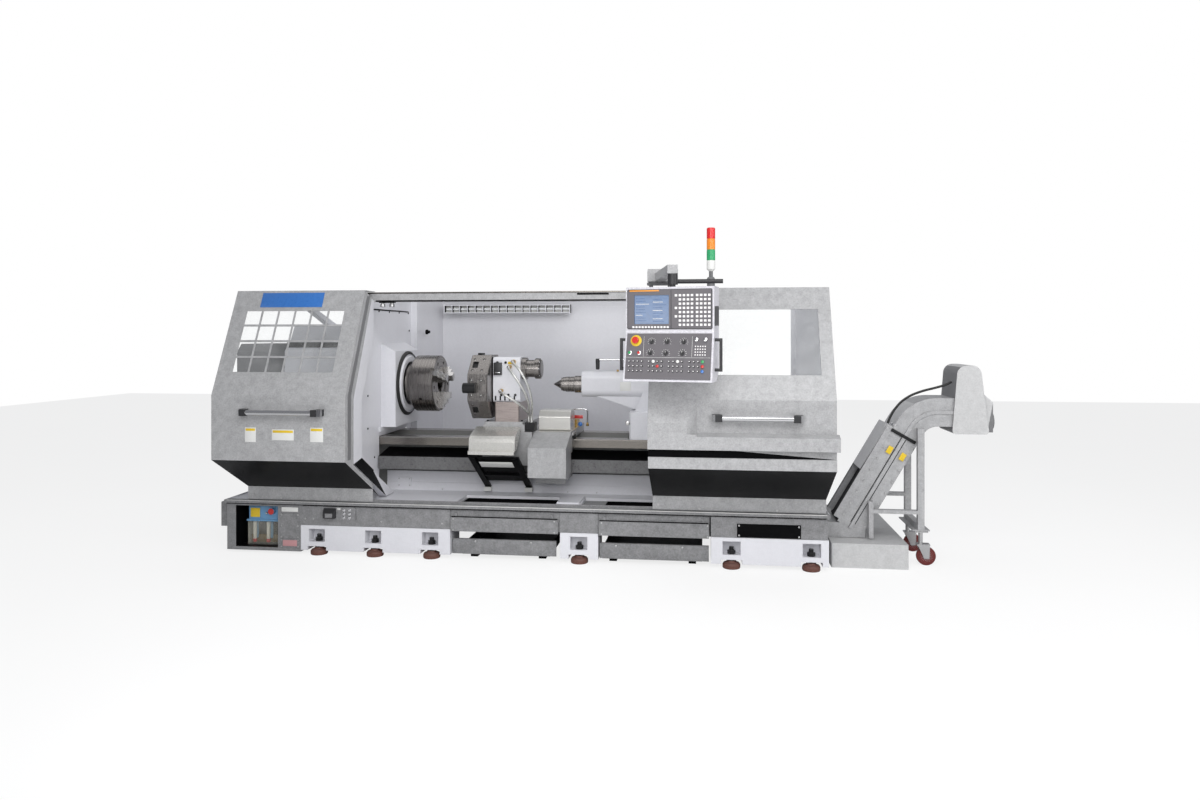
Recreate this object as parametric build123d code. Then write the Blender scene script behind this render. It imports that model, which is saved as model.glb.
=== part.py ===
from build123d import *
import math
import os

# Flat-bed CNC turning lathe with an inclined chip conveyor.
# While it is drawn, X runs along the bed from the left end of the base, Y runs to the back
# from the base's front face, and Z is up from the floor. Lengths are millimetres.

# Base, feet and cabinet
base_length = 4120.0
base_depth = 1600.0
frame_bottom = 205.0
frame_top = 345.0
foot_bottom = 32.0
foot_depth = 220.0
foot_spans = ((547.0, 1616.0), (2374.0, 2630.0), (3375.0, 4127.0))
foot_screw_x = ((663.0, 1070.0, 1475.0), (2500.0,), (3508.0, 4020.0))
pocket_width = 116.0
pocket_bottom = 92.0
pocket_top = 180.0
pocket_depth = 78.0
pad_radius = 58.0
pad_height = 50.0
pad_notch_clearance = 10.0
foot_screw_radius = 15.0
foot_screw_clearance = 0.5
foot_nut_flats = 46.0
foot_nut_height = 24.0
cabinet_bottom = 20.0
cabinet_recess = (66.0, 378.0)
cabinet_recess_bottom = 43.0
cabinet_recess_top = 331.0
cabinet_recess_depth = 300.0
panel_thickness = 12.0
bay_plate_height = 94.0
bay_plate_drop = 56.0
bay_plate_thickness = 6.0

# Coolant tanks in the two bays between the feet
tank_spans = ((1693.0, 2299.0), (2655.0, 3317.0))
tank_front_y = 40.0
tank_length = 1180.0
tank_top = 102.0
tank_floor = 32.0
tank_wall = 4.0
skid_width = 50.0

# Chip tray
tray_top = 372.0
tray_sheet = 4.0
tray_rim_front = -20.0
tray_rim_height = 27.0
tray_back_wall_top = 508.0
tray_overhang = 12.0
chute_y = (100.0, 385.0)
chute_spans = ((1622.0, 2317.0), (2493.0, 3180.0))
bridge_height = 10.0
tray_wall_y = 546.0
tray_wall_fold = 424.0
tray_plate_x = 1045.0
tray_plate_width = 105.0
tray_plate_levels = (390.0, 458.0)
tray_lug_x = (1392.0, 2339.0, 2553.0)
tray_lug_radius = 14.0

# Bed
bed_left = 230.0
bed_right = 3950.0
way_front_y = 400.0
way_rear_y = 960.0
way_width = 125.0
way_top = 780.0
way_thickness = 59.0
bed_body_front_y = 565.0
bed_body_rear_y = 930.0
bed_trough_bottom = 640.0
way_underside_fall = 20.0
screw_cover_front_y = 355.0
screw_cover_bottom = 548.0
screw_cover_shoulder = 641.0
screw_cover_rise = 42.0
screw_cover_lip = 20.0

# Spindle and chuck
spindle_y = 680.0
spindle_z = 1157.0
spindle_radius = 75.0
spindle_bore_radius = 52.0
spindle_nose_radius = 150.0
running_clearance = 0.05
headstock_left = 218.0
headstock_right = 950.0
headstock_front_y = 400.0
headstock_rear_y = 960.0
headstock_top = 1432.0
headstock_band = 38.0
headstock_cap_top = 1600.0
post_width = 45.0
post_left = 500.0
guard_left = -150.0
guard_right = 105.0
guard_bottom = 700.0
guard_top = 1459.0
guard_lap = 20.0
guard_slope = 60.0
wall_x = 957.0
cover_reach = 112.0
cover_front_y = 426.0
cover_bottom = 846.0
cover_top_outer = 1405.0
cover_top_inner = 1464.0
seal_outer_radius = 244.0
seal_inner_radius = 222.0
seal_bore_radius = 165.0
seal_thickness = 18.0
chuck_radius = 212.5
chuck_back_x = 1142.0
chuck_length = 192.0
chuck_bore_radius = 58.5
jaw_width = 50.0
jaw_slot_depth = 22.0
jaw_inner = 66.0
jaw_length = 122.0
jaw_reach = 76.0
jaw_clearance = 0.4

# Enclosure outline in the Y-Z plane, from its top edge down to the skirt
door_top = (-125.0, 1828.0)
door_crease = (-440.0, 1137.0)
door_fold = (-440.0, 715.0)
skirt_top = (5.0, 466.0)
skirt_bottom_z = 376.0
sheet = 3.0
flange_depth = 125.0
lower_flange_depth = 32.0
jamb_gap = 5.0
jamb_depth = 110.0
lower_jamb_depth = 74.0
left_door_span = (154.0, 1066.0)
right_door_span = (2993.0, 4110.0)
left_window_span = (254.0, 955.0)
right_window_span = (3080.0, 4038.0)
window_levels = (1278.0, 1695.0)
left_window_columns = 6
left_window_rows = 4
mullion = 13.0
pane_thickness = 5.0
pane_lap = 22.0
handle_z = 1031.0
handle_standoff = 55.0
handle_radius = 17.0
left_handle_span = (367.0, 924.0)
right_handle_span = (3378.0, 3914.0)
rail_box_front_y = -500.0
rail_box_levels = (840.0, 933.0)
rail_box_wedge_end = 3288.0
rail_box_wedge_crease = 1000.0
rail_box_overhang = 14.0
lower_band_levels = (718.0, 788.0)
lower_band_depth = 12.0
beam_y = (22.0, 110.0)
beam_z = (1755.0, 1810.0)
door_rail_radius = 6.0
back_wall_y = 1650.0
rear_step_y = 1066.0
rear_panel_x = (1008.0, 1040.0)
access_span = (3440.0, 4050.0)
access_levels = (1160.0, 1770.0)
back_wall_sheet = 4.0
back_wall_seam = 0.5
backing_span = (2520.0, 3230.0)
end_wall_x = 4090.0

# Work lamp
lamp_span = (1088.0, 2197.0)
lamp_y = (back_wall_y - 130.0, back_wall_y - 70.0)
lamp_levels = (1712.0, 1785.0)
lamp_cells = 16
lamp_rib = 8.0

# Carriage, cross slide and turret
saddle_left = 1700.0
saddle_right = 2394.0
saddle_gap = 0.3
saddle_top = 838.0
saddle_skirt = 90.0
saddle_side_clearance = 2.0
apron_span = (1760.0, 2120.0)
apron_y = (300.0, 345.0)
apron_bottom = 600.0
screw_y = 455.0
screw_z = 600.0
screw_radius = 20.0
screw_left = 1010.0
screw_right = 3900.0
screw_block_length = 60.0
screw_block_half = 38.0
screw_end_radius = 14.0
screw_end_length = 70.0
apron_cover_front_y = 120.0
apron_cover_bottom = 545.0
apron_cover_shoulder = 750.0
apron_cover_top = 832.0
slide_span = (1765.0, 2066.0)
slide_front_y = 304.0
slide_rear_y = 990.0
slide_top = 889.0
slide_cover_span = (1718.0, 2041.0)
slide_cover_front_y = 100.0
slide_cover_bottom = 728.0
slide_cover_lip = 24.0
guard_overhang = 34.0
guard_gap = 53.0
guard_top_point = (62.0, 684.0)
guard_bottom_point = (528.0, 397.0)
guard_leg_width = 43.0
nut_arm_levels = (505.0, 535.0)
nut_arm_rear_y = 500.0
nut_gap = 5.0
turret_y = 390.0
turret_apothem = 225.0
turret_stations = 8
turret_left = 1688.0
turret_width = 143.0
turret_gap = 7.0
turret_shaft_radius = 50.0
housing_y = (304.0, 560.0)
housing_z = (1048.0, 1369.0)
housing_right = 2035.0
drive_level = 1285.0
hose_start_x = (1990.0, 1962.0, 1900.0)
hose_start_z = (1338.0, 1300.0, 1130.0)
riser_span = (1850.0, 2026.0)
flange_top = 909.0
tool_reach = 284.0
hose_radius = 8.5

# Tailstock
quill_radius = 60.0
collar_radius = 63.5
collar_length = 62.0
tail_left = 2432.0
tail_length = 548.0
tail_y = (590.0, 770.0)
tail_z = (1068.0, 1256.0)
tail_base_overhang = 367.0
tail_base_length = 461.0
tail_base_y = (420.0, 940.0)
tail_base_top = 971.0
quill_length = 430.0
centre_body_radius = 57.0
centre_cone_radius = 49.0
centre_cone_length = 64.0
centre_body_length = 107.0
centre_shank_radius = 30.0
lever_setback = 328.0
lever_y = 650.0
lever_level = 1345.0
lever_arm = 215.0

# Control pendant, drawn about its swivel and turned about it
pendant_x = 3150.0
pendant_y = -640.0
pendant_turn = -12.0
pendant_half_width = 260.0
pendant_front = -80.0
pendant_back = 55.0
pendant_top = 1804.0
pendant_joint_z = 1548.0
pendant_bottom = 1262.0
pendant_lean = 60.0
display_span = (-208.0, -1.0)
display_levels = (1590.0, 1757.0)
keyboard_span = (34.0, 244.0)
keyboard_levels = (1574.0, 1766.0)
knob_places = ((-99.0, 1487.0), (-7.0, 1487.0), (90.0, 1487.0), (-104.0, 1424.0), (-13.0, 1422.0),
               (84.0, 1422.0))
stop_place = (-193.0, 1493.0)
green_place = (-228.0, 1424.0)
red_place = (-173.0, 1424.0)
button_travel = 4.0
stop_travel = 6.0
arm_pivot = (3040.0, 66.0)
arm_bottom = 1880.0
arm_top = 1950.0

# Signal tower
tower_place = (3375.0, 81.0)
tower_radius = 28.0
tower_post_height = 139.0
lens_height = 72.0

# Electrical cabinet on the back
cabinet_span = (1900.0, 2900.0)
cabinet_levels = (520.0, 1760.0)
cabinet_depth = 250.0
cabinet_wall = 6.0
cabinet_door_thickness = 24.0
door_gap = 2.0
duct_inset = 120.0
duct_depth = 90.0
duct_height = 130.0
duct_pitch = 290.0
latch_width = 30.0
latch_height = 140.0
latch_depth = 22.0
hinge_radius = 7.0
hinge_length = 100.0
hinge_pin_radius = 3.0
hinge_pin_length = 20.0
hinge_bracket_width = 40.0
hinge_bracket_sheet = 6.0

# Chip conveyor
conveyor_y = (290.0, 590.0)
conveyor_angle = 60.0
conveyor_thickness = 190.0
conveyor_flat_top = 1106.0
conveyor_foot = (4222.0, 272.0)
conveyor_bend = (4619.0, 959.0)
conveyor_end_x = 4990.0
hood_wall = 5.0
hood_bottom = 869.0
hood_top = 1325.0
hood_left = 4962.0
hood_right = 5198.0
hood_top_span = (4998.0, 5142.0)
motor_right = 5240.0
sump_span = (4161.0, 4650.0)
sump_y = (125.0, 1400.0)
sump_height = 160.0
leg_x = (4735.0, 4777.0)
leg_bottom = 236.0
caster_radius = 62.0
caster_x = 4790.0


def block(x_span, y_span, z_span):
    """A rectangular solid between pairs of X, Y and Z values."""
    size = [high - low for low, high in (x_span, y_span, z_span)]
    return Pos(x_span[0], y_span[0], z_span[0]) * Box(*size, align=(Align.MIN,) * 3)


def prism_x(outline, x_span):
    """Extrude a closed (Y, Z) outline along X."""
    plane = Plane(origin=(x_span[0], 0, 0), x_dir=(0, 1, 0), z_dir=(1, 0, 0))
    return extrude(plane * make_face(Polyline(*outline, close=True)), x_span[1] - x_span[0])


def prism_y(outline, y_span):
    """Extrude a closed (X, Z) outline along Y."""
    plane = Plane(origin=(0, y_span[1], 0), x_dir=(1, 0, 0), z_dir=(0, -1, 0))
    return extrude(plane * make_face(Polyline(*outline, close=True)), y_span[1] - y_span[0])


def prism_z(outline, z_span):
    """Extrude a closed (X, Y) outline along Z."""
    return extrude(Pos(0, 0, z_span[0]) * make_face(Polyline(*outline, close=True)), z_span[1] - z_span[0])


def rod_x(x_span, y, z, radius):
    """A round bar along X."""
    length = x_span[1] - x_span[0]
    return Pos((x_span[0] + x_span[1]) / 2, y, z) * Rot(0, 90, 0) * Cylinder(radius, length)


def rod_y(x, y_span, z, radius):
    """A round bar along Y."""
    length = y_span[1] - y_span[0]
    return Pos(x, (y_span[0] + y_span[1]) / 2, z) * Rot(90, 0, 0) * Cylinder(radius, length)


def rod_z(x, y, z_span, radius):
    """A round bar along Z."""
    return Pos(x, y, (z_span[0] + z_span[1]) / 2) * Cylinder(radius, z_span[1] - z_span[0])


def turned_x(profile, y, z):
    """Revolve a closed (X, radius) profile about the X axis through (y, z)."""
    return Pos(0, y, z) * revolve(make_face(Polyline(*profile, close=True)), Axis.X)


def turned_z(profile, x, y):
    """Revolve a closed (radius, Z) profile about a vertical axis through (x, y)."""
    plane = Plane(origin=(0, 0, 0), x_dir=(1, 0, 0), z_dir=(0, -1, 0))
    return Pos(x, y, 0) * revolve(plane * make_face(Polyline(*profile, close=True)), Axis.Z)


def offset_path(points, distances):
    """Shift each run of an open path to its left by its own distance and join the runs again."""
    runs = []
    for (a, b), distance in zip(zip(points, points[1:]), distances):
        length = math.dist(a, b)
        ux, uy = (b[0] - a[0]) / length, (b[1] - a[1]) / length
        runs.append(((a[0] - uy * distance, a[1] + ux * distance), (ux, uy), length))
    path = [runs[0][0]]
    for (p, u, _), (q, w, _) in zip(runs, runs[1:]):
        cross = u[0] * w[1] - u[1] * w[0]
        along = ((q[0] - p[0]) * w[1] - (q[1] - p[1]) * w[0]) / cross
        path.append((p[0] + u[0] * along, p[1] + u[1] * along))
    p, u, length = runs[-1]
    path.append((p[0] + u[0] * length, p[1] + u[1] * length))
    return path


def folded(points, thickness):
    """Closed outline of a sheet folded along an open path, with its thickness on the left."""
    return list(points) + offset_path(points, [thickness] * (len(points) - 1))[::-1]


def tube_along(points, radius):
    """A round tube whose path is straight runs joined by arcs as large as the runs allow."""
    radii = []
    for a, b, c in zip(points, points[1:], points[2:]):
        turn = math.radians((Vector(*b) - Vector(*a)).get_angle(Vector(*c) - Vector(*b)))
        radii.append(0.45 * min(math.dist(a, b), math.dist(b, c)) / math.tan(turn / 2))
    path = FilletPolyline(*points, radius=radii)
    print("tube radii", [round(value) for value in radii], "length", round(path.length))
    return sweep(Plane(path @ 0, z_dir=path % 0) * Circle(radius), path)


# Places that follow from the sizes above
guard_right_x = slide_cover_span[1] + guard_overhang
apron_cover_left = guard_right_x + guard_gap
tail_right = tail_left + tail_length
tail_base_left = tail_left + tail_base_overhang
tail_base_span = (tail_base_left, tail_base_left + tail_base_length)
lever_pivot_x = tail_left + lever_setback

# The outline that both doors follow
door_path = (door_top, door_crease, door_fold, skirt_top)
slant_angle = math.degrees(math.atan2(door_top[0] - door_crease[0], door_top[1] - door_crease[1]))
skirt_face_y = skirt_top[0]


def flange_outline():
    """Outline of the return flange at each end of a door."""
    inner = offset_path(door_path, (flange_depth, flange_depth, lower_flange_depth))
    return list(door_path) + inner[::-1]


def jamb_outline():
    """Outline of the fixed jamb behind a door's flange, carried down to the tray."""
    slope = math.atan2(skirt_top[1] - door_fold[1], skirt_top[0] - door_fold[0])
    reach = 520.0
    low_end = (skirt_top[0] + reach * math.cos(slope), skirt_top[1] + reach * math.sin(slope))
    path = (door_top, door_crease, door_fold, low_end)
    near = flange_depth + jamb_gap
    low = lower_flange_depth + jamb_gap
    outer = offset_path(path, (near, near, low))
    inner = offset_path(path, (near + jamb_depth, near + jamb_depth, low + lower_jamb_depth))
    return outer + inner[::-1]


def slant_place(level, depth=0.0):
    """Point (Y, Z) on the doors' slanted face at a height, moved inwards by a depth."""
    share = (level - door_crease[1]) / (door_top[1] - door_crease[1])
    y = door_crease[0] + share * (door_top[0] - door_crease[0])
    angle = math.radians(slant_angle)
    return (y + depth * math.cos(angle), level - depth * math.sin(angle))


def slant_block(x_span, levels, depth_span):
    """A block lying in the slanted face, between two heights and two depths."""
    corners = [slant_place(levels[0], depth_span[0]), slant_place(levels[1], depth_span[0])]
    corners += [slant_place(levels[1], depth_span[1]), slant_place(levels[0], depth_span[1])]
    return prism_x(corners, x_span)


def door_skin(x_span):
    """Folded skin of a door with its end flanges, top return and skirt."""
    left, right = x_span
    top_return = (beam_y[0] + 28.0, door_top[1])
    path = (top_return, door_top, door_crease, door_fold, skirt_top, (skirt_face_y, skirt_bottom_z))
    skin = prism_x(folded(path, sheet), x_span)
    ends = prism_x(flange_outline(), (left, left + sheet))
    ends += prism_x(flange_outline(), (right - sheet, right))
    hangers = None
    for place in (left + 110.0, right - 110.0):
        low = beam_z[1] + 2 * door_rail_radius + 0.5
        hanger = block((place - 40, place + 40), (beam_y[0] + 4, beam_y[0] + 28), (low, door_top[1]))
        hangers = hanger if hangers is None else hangers + hanger
    return skin + ends + hangers


def window_cells(span, columns, rows):
    """Cutters for the panes of a window in the slanted face."""
    cells = []
    pitch_x = (span[1] - span[0]) / columns
    pitch_z = (window_levels[1] - window_levels[0]) / rows
    for column in range(columns):
        for row in range(rows):
            x0 = span[0] + column * pitch_x + mullion / 2
            z0 = window_levels[0] + row * pitch_z + mullion / 2
            cell_x = (x0, x0 + pitch_x - mullion)
            cells.append(slant_block(cell_x, (z0, z0 + pitch_z - mullion), (-20, 20)))
    return cells


def door_pane(span):
    """Clear pane behind a window opening."""
    levels = (window_levels[0] - pane_lap, window_levels[1] + pane_lap)
    return slant_block((span[0] - pane_lap, span[1] + pane_lap), levels, (sheet, sheet + pane_thickness))


def door_handle(span):
    """Bar handle: a round tube between two angled end brackets."""
    face = door_crease[0]
    bar_y = face - handle_standoff
    bar = rod_x((span[0] + 34, span[1] - 34), bar_y, handle_z, handle_radius)
    parts = [bar]
    for end, side in ((span[0], 1), (span[1], -1)):
        outline = [(end, face), (end + side * 44, face), (end + side * 60, bar_y + 8),
                   (end + side * 60, bar_y - 18), (end + side * 18, bar_y - 18), (end, bar_y + 22)]
        bracket = prism_z(outline, (handle_z - 21, handle_z + 21))
        parts.append(bracket - bar)
    return Compound(children=parts)


def left_door():
    """Left sliding door with the gridded window."""
    door = door_skin(left_door_span)
    for cell in window_cells(left_window_span, left_window_columns, left_window_rows):
        door -= cell
    return door


def right_door():
    """Right sliding door with one large window and a stiffening box along its front."""
    door = door_skin(right_door_span)
    door -= window_cells(right_window_span, 1, 1)[0]
    left, right = right_door_span
    low, high = rail_box_levels
    face = door_crease[0]
    front = rail_box_front_y
    ledge = prism_x([(front, low), (front, high - 14), (face, high + 4), (face, low + 30)],
                    (left, right + rail_box_overhang))
    wedge = prism_x([(front, low), (front, rail_box_wedge_crease), door_crease, (face, low + 30)],
                    (left, rail_box_wedge_end))
    skew = prism_z([(rail_box_wedge_end, face), (rail_box_wedge_end, front - 1),
                    (rail_box_wedge_end + front - face, front - 1)], (high, door_crease[1] + 1))
    band = block((left, right), (face - lower_band_depth, face), lower_band_levels)
    return door + ledge + (wedge - skew) + band


def foot_blocks():
    """Cast feet in front of and behind the base, pocketed round each levelling screw."""
    feet = []
    for rear in (False, True):
        for span, screws in zip(foot_spans, foot_screw_x):
            y0 = base_depth - foot_depth if rear else 0.0
            foot = block(span, (y0, y0 + foot_depth), (foot_bottom, frame_bottom))
            face = y0 + foot_depth if rear else y0
            inward = -1 if rear else 1
            for x in screws:
                y_pocket = sorted((face - inward, face + inward * pocket_depth))
                half = pocket_width / 2
                foot -= block((x - half, x + half), y_pocket, (pocket_bottom, pocket_top))
                notch = pad_radius + pad_notch_clearance
                y_notch = sorted((face - inward, face + inward * 2 * notch))
                notch_top = pad_height + pad_notch_clearance
                foot -= block((x - notch, x + notch), y_notch, (foot_bottom - 1, notch_top))
                hole_y = face + inward * pocket_depth / 2
                hole_radius = foot_screw_radius + foot_screw_clearance
                foot -= rod_z(x, hole_y, (foot_bottom, pocket_top), hole_radius)
            feet.append(foot)
    return Compound(children=feet)


def foot_places():
    """Centre of every levelling screw on the floor."""
    places = []
    for rear in (False, True):
        for screws in foot_screw_x:
            for x in screws:
                y = base_depth - pocket_depth / 2 if rear else pocket_depth / 2
                places.append((x, y))
    return places


def levelling_pads():
    """Round levelling pads under the screws."""
    seat = foot_screw_radius + foot_screw_clearance
    profile = [(0, 0), (pad_radius - 3, 0), (pad_radius, 5), (pad_radius, 24), (pad_radius - 6, 34),
               (34, 40), (30, pad_height), (seat, pad_height), (seat, pad_height - 10),
               (0, pad_height - 10)]
    return Compound(children=[turned_z(profile, x, y) for x, y in foot_places()])


def levelling_screws():
    """Levelling screws with their lock nuts in the pockets."""
    screws = []
    for x, y in foot_places():
        nut_plane = Pos(x, y, pocket_bottom) * RegularPolygon(foot_nut_flats / 2, 6, major_radius=False)
        screw = rod_z(x, y, (pad_height - 10, pocket_bottom + foot_nut_height + 22), foot_screw_radius)
        screws.append(screw + extrude(nut_plane, foot_nut_height))
    return Compound(children=screws)


def bay_spans():
    """The two bays between neighbouring feet."""
    return [(a[1], b[0]) for a, b in zip(foot_spans, foot_spans[1:])]


def base_frame():
    """Base with its front panels, bay cover plates and chip chutes."""
    start = foot_spans[0][0]
    frame = block((start, base_length), (panel_thickness, base_depth - panel_thickness),
                  (frame_bottom, frame_top))
    for span in foot_spans:
        right = min(span[1], base_length)
        frame += block((span[0], right), (0, panel_thickness), (frame_bottom + 2, frame_top))
    plate_top = frame_top - bay_plate_drop
    for bay in bay_spans():
        plate = (plate_top - bay_plate_height, plate_top)
        frame += block((bay[0] + 4, bay[1] - 14), (-bay_plate_thickness, panel_thickness), plate)
        for tab in (bay[0] + 34, bay[1] - 60):
            frame += block((tab, tab + 14), (0, panel_thickness), (plate_top, plate_top + 30))
    for span, bay in zip(chute_spans, bay_spans()):
        chute = (max(span[0], bay[0] + 20), min(span[1], bay[1] - 20))
        frame -= block(chute, (chute_y[0] - 15, chute_y[1] + 15), (0, frame_top + 1))
    return frame


def left_cabinet():
    """Left end cabinet with the open recess for the lubrication unit and two service plates."""
    right = foot_spans[0][0]
    body = block((0, right), (0, base_depth - panel_thickness), (cabinet_bottom, frame_top))
    body -= block(cabinet_recess, (-1, cabinet_recess_depth), (cabinet_recess_bottom, cabinet_recess_top))
    plate_x = (cabinet_recess[1] + 22, right - 14)
    body += block(plate_x, (-3, 0), (cabinet_recess_bottom + 4, cabinet_recess_bottom + 62))
    body += block(plate_x, (-3, 0), (cabinet_recess_bottom + 70, cabinet_recess_top - 50))
    body += block(plate_x, (-3, 0), (cabinet_recess_top - 42, cabinet_recess_top))
    return body


def side_box():
    """Connection box on the left end of the base."""
    depth = 81.0
    box = block((-depth, 0), (60, 300), (168, frame_top - 5))
    box += block((-depth - 3, -depth), (70, 290), (180, 330))
    return fillet(box.edges().filter_by(Axis.X).group_by(Axis.Z)[-1], 6)


def lubrication_pump():
    """Blue pump head with its lid, gauge and suction tubes."""
    x0, x1 = 124.0, 346.0
    head = block((x0, x1), (64, 200), (222, 316))
    head = fillet(head.edges().filter_by(Axis.Z), 8)
    lid = block((x0 - 10, x1 + 4), (56, 208), (210, 222))
    panel = block((x0 + 14, x0 + 92), (60, 64), (232, 308))
    gauge = rod_y(x1 - 44, (44, 64), 282, 24)
    pump = head + lid + panel + gauge
    for x in (x0 + 40, x0 + 150):
        pump += rod_z(x, 110, (82, 210), 11)
    return pump


def oil_reservoir():
    """Clear oil reservoir that the pump head closes."""
    x0, x1 = 116.0, 346.0
    bottom = cabinet_recess_bottom
    tank = block((x0, x1), (62, 202), (bottom, 210))
    tank = fillet(tank.edges().filter_by(Axis.Z), 10)
    return tank - block((x0 + 5, x1 - 5), (67, 197), (bottom + 6, 211))


def socket_panel():
    """Switch and socket panel on the base's front."""
    plate = block((701, 948), (-5, 0), (243, 338))
    plate = chamfer(plate.edges().filter_by(Axis.Y), 10)
    switch = prism_x([(-5, 262), (-5, 326), (-16, 330), (-34, 300), (-34, 262)], (722, 806))
    panel = plate + switch
    for column in range(2):
        for row in range(3):
            panel -= rod_y(862 + 40 * column, (-6, -2), 264 + 26 * row, 9)
    return panel


def chip_tray():
    """Folded tray round the bed: rim, floor, inner wall with its plate and lugs, chutes and bridge."""
    left, right = -tray_overhang, base_length + tray_overhang
    under = frame_top
    outer = block((left, right), (tray_rim_front, back_wall_y + 4), (under, tray_top))
    inside = block((left + tray_sheet, right - tray_sheet), (24, back_wall_y), (under + 20, tray_top + 1))
    tray = outer - inside
    wall_span = (wall_x + 4, bed_right + 60)
    wall_face = tray_wall_y - tray_sheet
    tray += block(wall_span, (wall_face, tray_wall_y), (under, tray_back_wall_top))
    tray += block(wall_span, (wall_face - tray_sheet, wall_face), (under + 20, tray_wall_fold))
    plate_x = (tray_plate_x, tray_plate_x + tray_plate_width)
    tray += block(plate_x, (wall_face - 2 * tray_sheet, wall_face), tray_plate_levels)
    for x in tray_lug_x:
        tray += rod_y(x, (wall_face - 2 * tray_sheet, wall_face), tray_top, tray_lug_radius)
    bed_hole_y = (bed_body_front_y - 6, bed_body_rear_y + 6)
    tray -= block((bed_left - 6, bed_right + 6), bed_hole_y, (under - 1, tray_top + 1))
    for span in chute_spans:
        tray -= block(span, chute_y, (under - 1, tray_top + 1))
    bridge = (chute_spans[0][1] + 12, chute_spans[1][0] - 8)
    tray += block(bridge, (chute_y[0] + 30, chute_y[1]), (under + 20, tray_top + bridge_height))
    tray += block((left_door_span[0], base_length), (12, 18), (tray_top, tray_top + 20))
    return tray


def bed_casting():
    """Bed: two ground ways on a hollow casting with cross ribs."""
    low = way_top - way_thickness
    front_inner = way_front_y + way_width
    rear_inner = way_rear_y - way_width
    outline = [(way_front_y, low), (way_front_y, way_top - 6), (way_front_y + 6, way_top),
               (front_inner, way_top), (front_inner + 80, bed_trough_bottom),
               (rear_inner - 80, bed_trough_bottom), (rear_inner, way_top), (way_rear_y - 6, way_top),
               (way_rear_y, way_top - 6), (way_rear_y, low), (bed_body_rear_y, low - 60),
               (bed_body_rear_y, frame_top), (bed_body_front_y, frame_top),
               (bed_body_front_y, low - way_underside_fall)]
    bed = prism_x(outline, (bed_left, bed_right))
    rib_pitch = 420.0
    x = wall_x + rib_pitch
    rib = [(front_inner + 20, way_top - 40), (front_inner + 82, bed_trough_bottom - 4),
           (rear_inner - 82, bed_trough_bottom - 4), (rear_inner - 20, way_top - 40)]
    while x < bed_right - 100:
        bed += prism_x(rib, (x, x + 30))
        x += rib_pitch
    return bed


def ball_screw():
    """Feed screw under the front way, behind its cover."""
    left, right = screw_left + screw_end_length, screw_right - screw_end_length
    end = screw_end_radius
    profile = [(screw_left, 0), (screw_left, end), (left, end), (left, screw_radius),
               (right, screw_radius), (right, end), (screw_right, end), (screw_right, 0)]
    return turned_x(profile, screw_y, screw_z)


def screw_cover():
    """Folded cover over the feed screw, open underneath, from the bed's front face."""
    front = screw_cover_front_y
    path = [(bed_body_front_y, screw_cover_shoulder + screw_cover_rise), (front, screw_cover_shoulder),
            (front, screw_cover_bottom), (front + screw_cover_lip, screw_cover_bottom)]
    return prism_x(folded(path, sheet), (wall_x + 9, screw_right + 20))


def screw_blocks():
    """End bearing blocks of the feed screw, on the bed's front face."""
    blocks = []
    half = screw_block_half
    for x in (screw_left + 2, screw_right - 2 - screw_block_length):
        end = x + screw_block_length
        body = block((x, end), (screw_y - half, bed_body_front_y), (screw_z - half, screw_z + half))
        blocks.append(body - rod_x((x - 1, end + 1), screw_y, screw_z, screw_end_radius + running_clearance))
    return Compound(children=blocks)


def headstock():
    """Headstock casting, bored for the spindle, with its cap and the post that carries the beam."""
    front, rear = headstock_front_y, headstock_rear_y
    body = prism_x([(front, way_top), (front, headstock_top - 30), (front + 30, headstock_top),
                    (rear - 30, headstock_top), (rear, headstock_top - 30), (rear, way_top)],
                   (headstock_left, headstock_right))
    band_top = headstock_top + headstock_band
    band = block((headstock_left + 8, headstock_right - 20), (front + 20, rear - 20),
                 (headstock_top, band_top))
    cap = prism_y([(headstock_left + 20, band_top), (headstock_left + 60, headstock_cap_top),
                   (headstock_right - 60, headstock_cap_top), (headstock_right - 30, band_top)],
                  (front + 40, rear - 60))
    neck = rod_x((guard_right, headstock_left), spindle_y, spindle_z, spindle_radius + 60)
    neck += block((guard_right, headstock_left), (front + 80, rear - 80), (way_top + 20, spindle_z))
    post = prism_x([(beam_y[0], beam_z[0]), (beam_y[1], beam_z[0]), (front + 200, headstock_cap_top),
                    (front + 60, headstock_cap_top)], (post_left, post_left + post_width))
    bore = rod_x((guard_right - 1, headstock_right + 1), spindle_y, spindle_z,
                 spindle_radius + running_clearance)
    return body + band + cap + neck + post - bore


def belt_guard():
    """Cover over the drive at the spindle's left end."""
    front, rear = headstock_front_y - guard_lap, headstock_rear_y + guard_lap
    slope = guard_slope
    guard = prism_x([(front, guard_bottom), (front, guard_top - slope), (front + slope, guard_top),
                     (rear - slope, guard_top), (rear, guard_top - slope), (rear, guard_bottom)],
                    (guard_left, guard_right))
    guard -= rod_x((guard_left + 60, guard_right + 1), spindle_y, spindle_z, spindle_radius + 8)
    return guard


def spindle():
    """Hollow spindle with its flanged nose."""
    left = guard_left + 70
    profile = [(left, spindle_bore_radius), (left, spindle_radius), (headstock_right + 40, spindle_radius),
               (headstock_right + 60, 110), (chuck_back_x - 40, 110),
               (chuck_back_x - 40, spindle_nose_radius), (chuck_back_x, spindle_nose_radius),
               (chuck_back_x, spindle_bore_radius)]
    return turned_x(profile, spindle_y, spindle_z)


def chuck_face_x():
    """Plane of the chuck's front face."""
    return chuck_back_x + chuck_length


def jaw_turns():
    """Angles of the three jaws about the spindle, measured from straight up."""
    return (62.0, 182.0, 302.0)


def radial_block(half_width, r_span, x_span, turn):
    """A block that points away from the spindle axis, turned about it from straight up."""
    raw = block(x_span, (-half_width, half_width), r_span)
    return Pos(0, spindle_y, spindle_z) * Rot(turn, 0, 0) * raw


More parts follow.
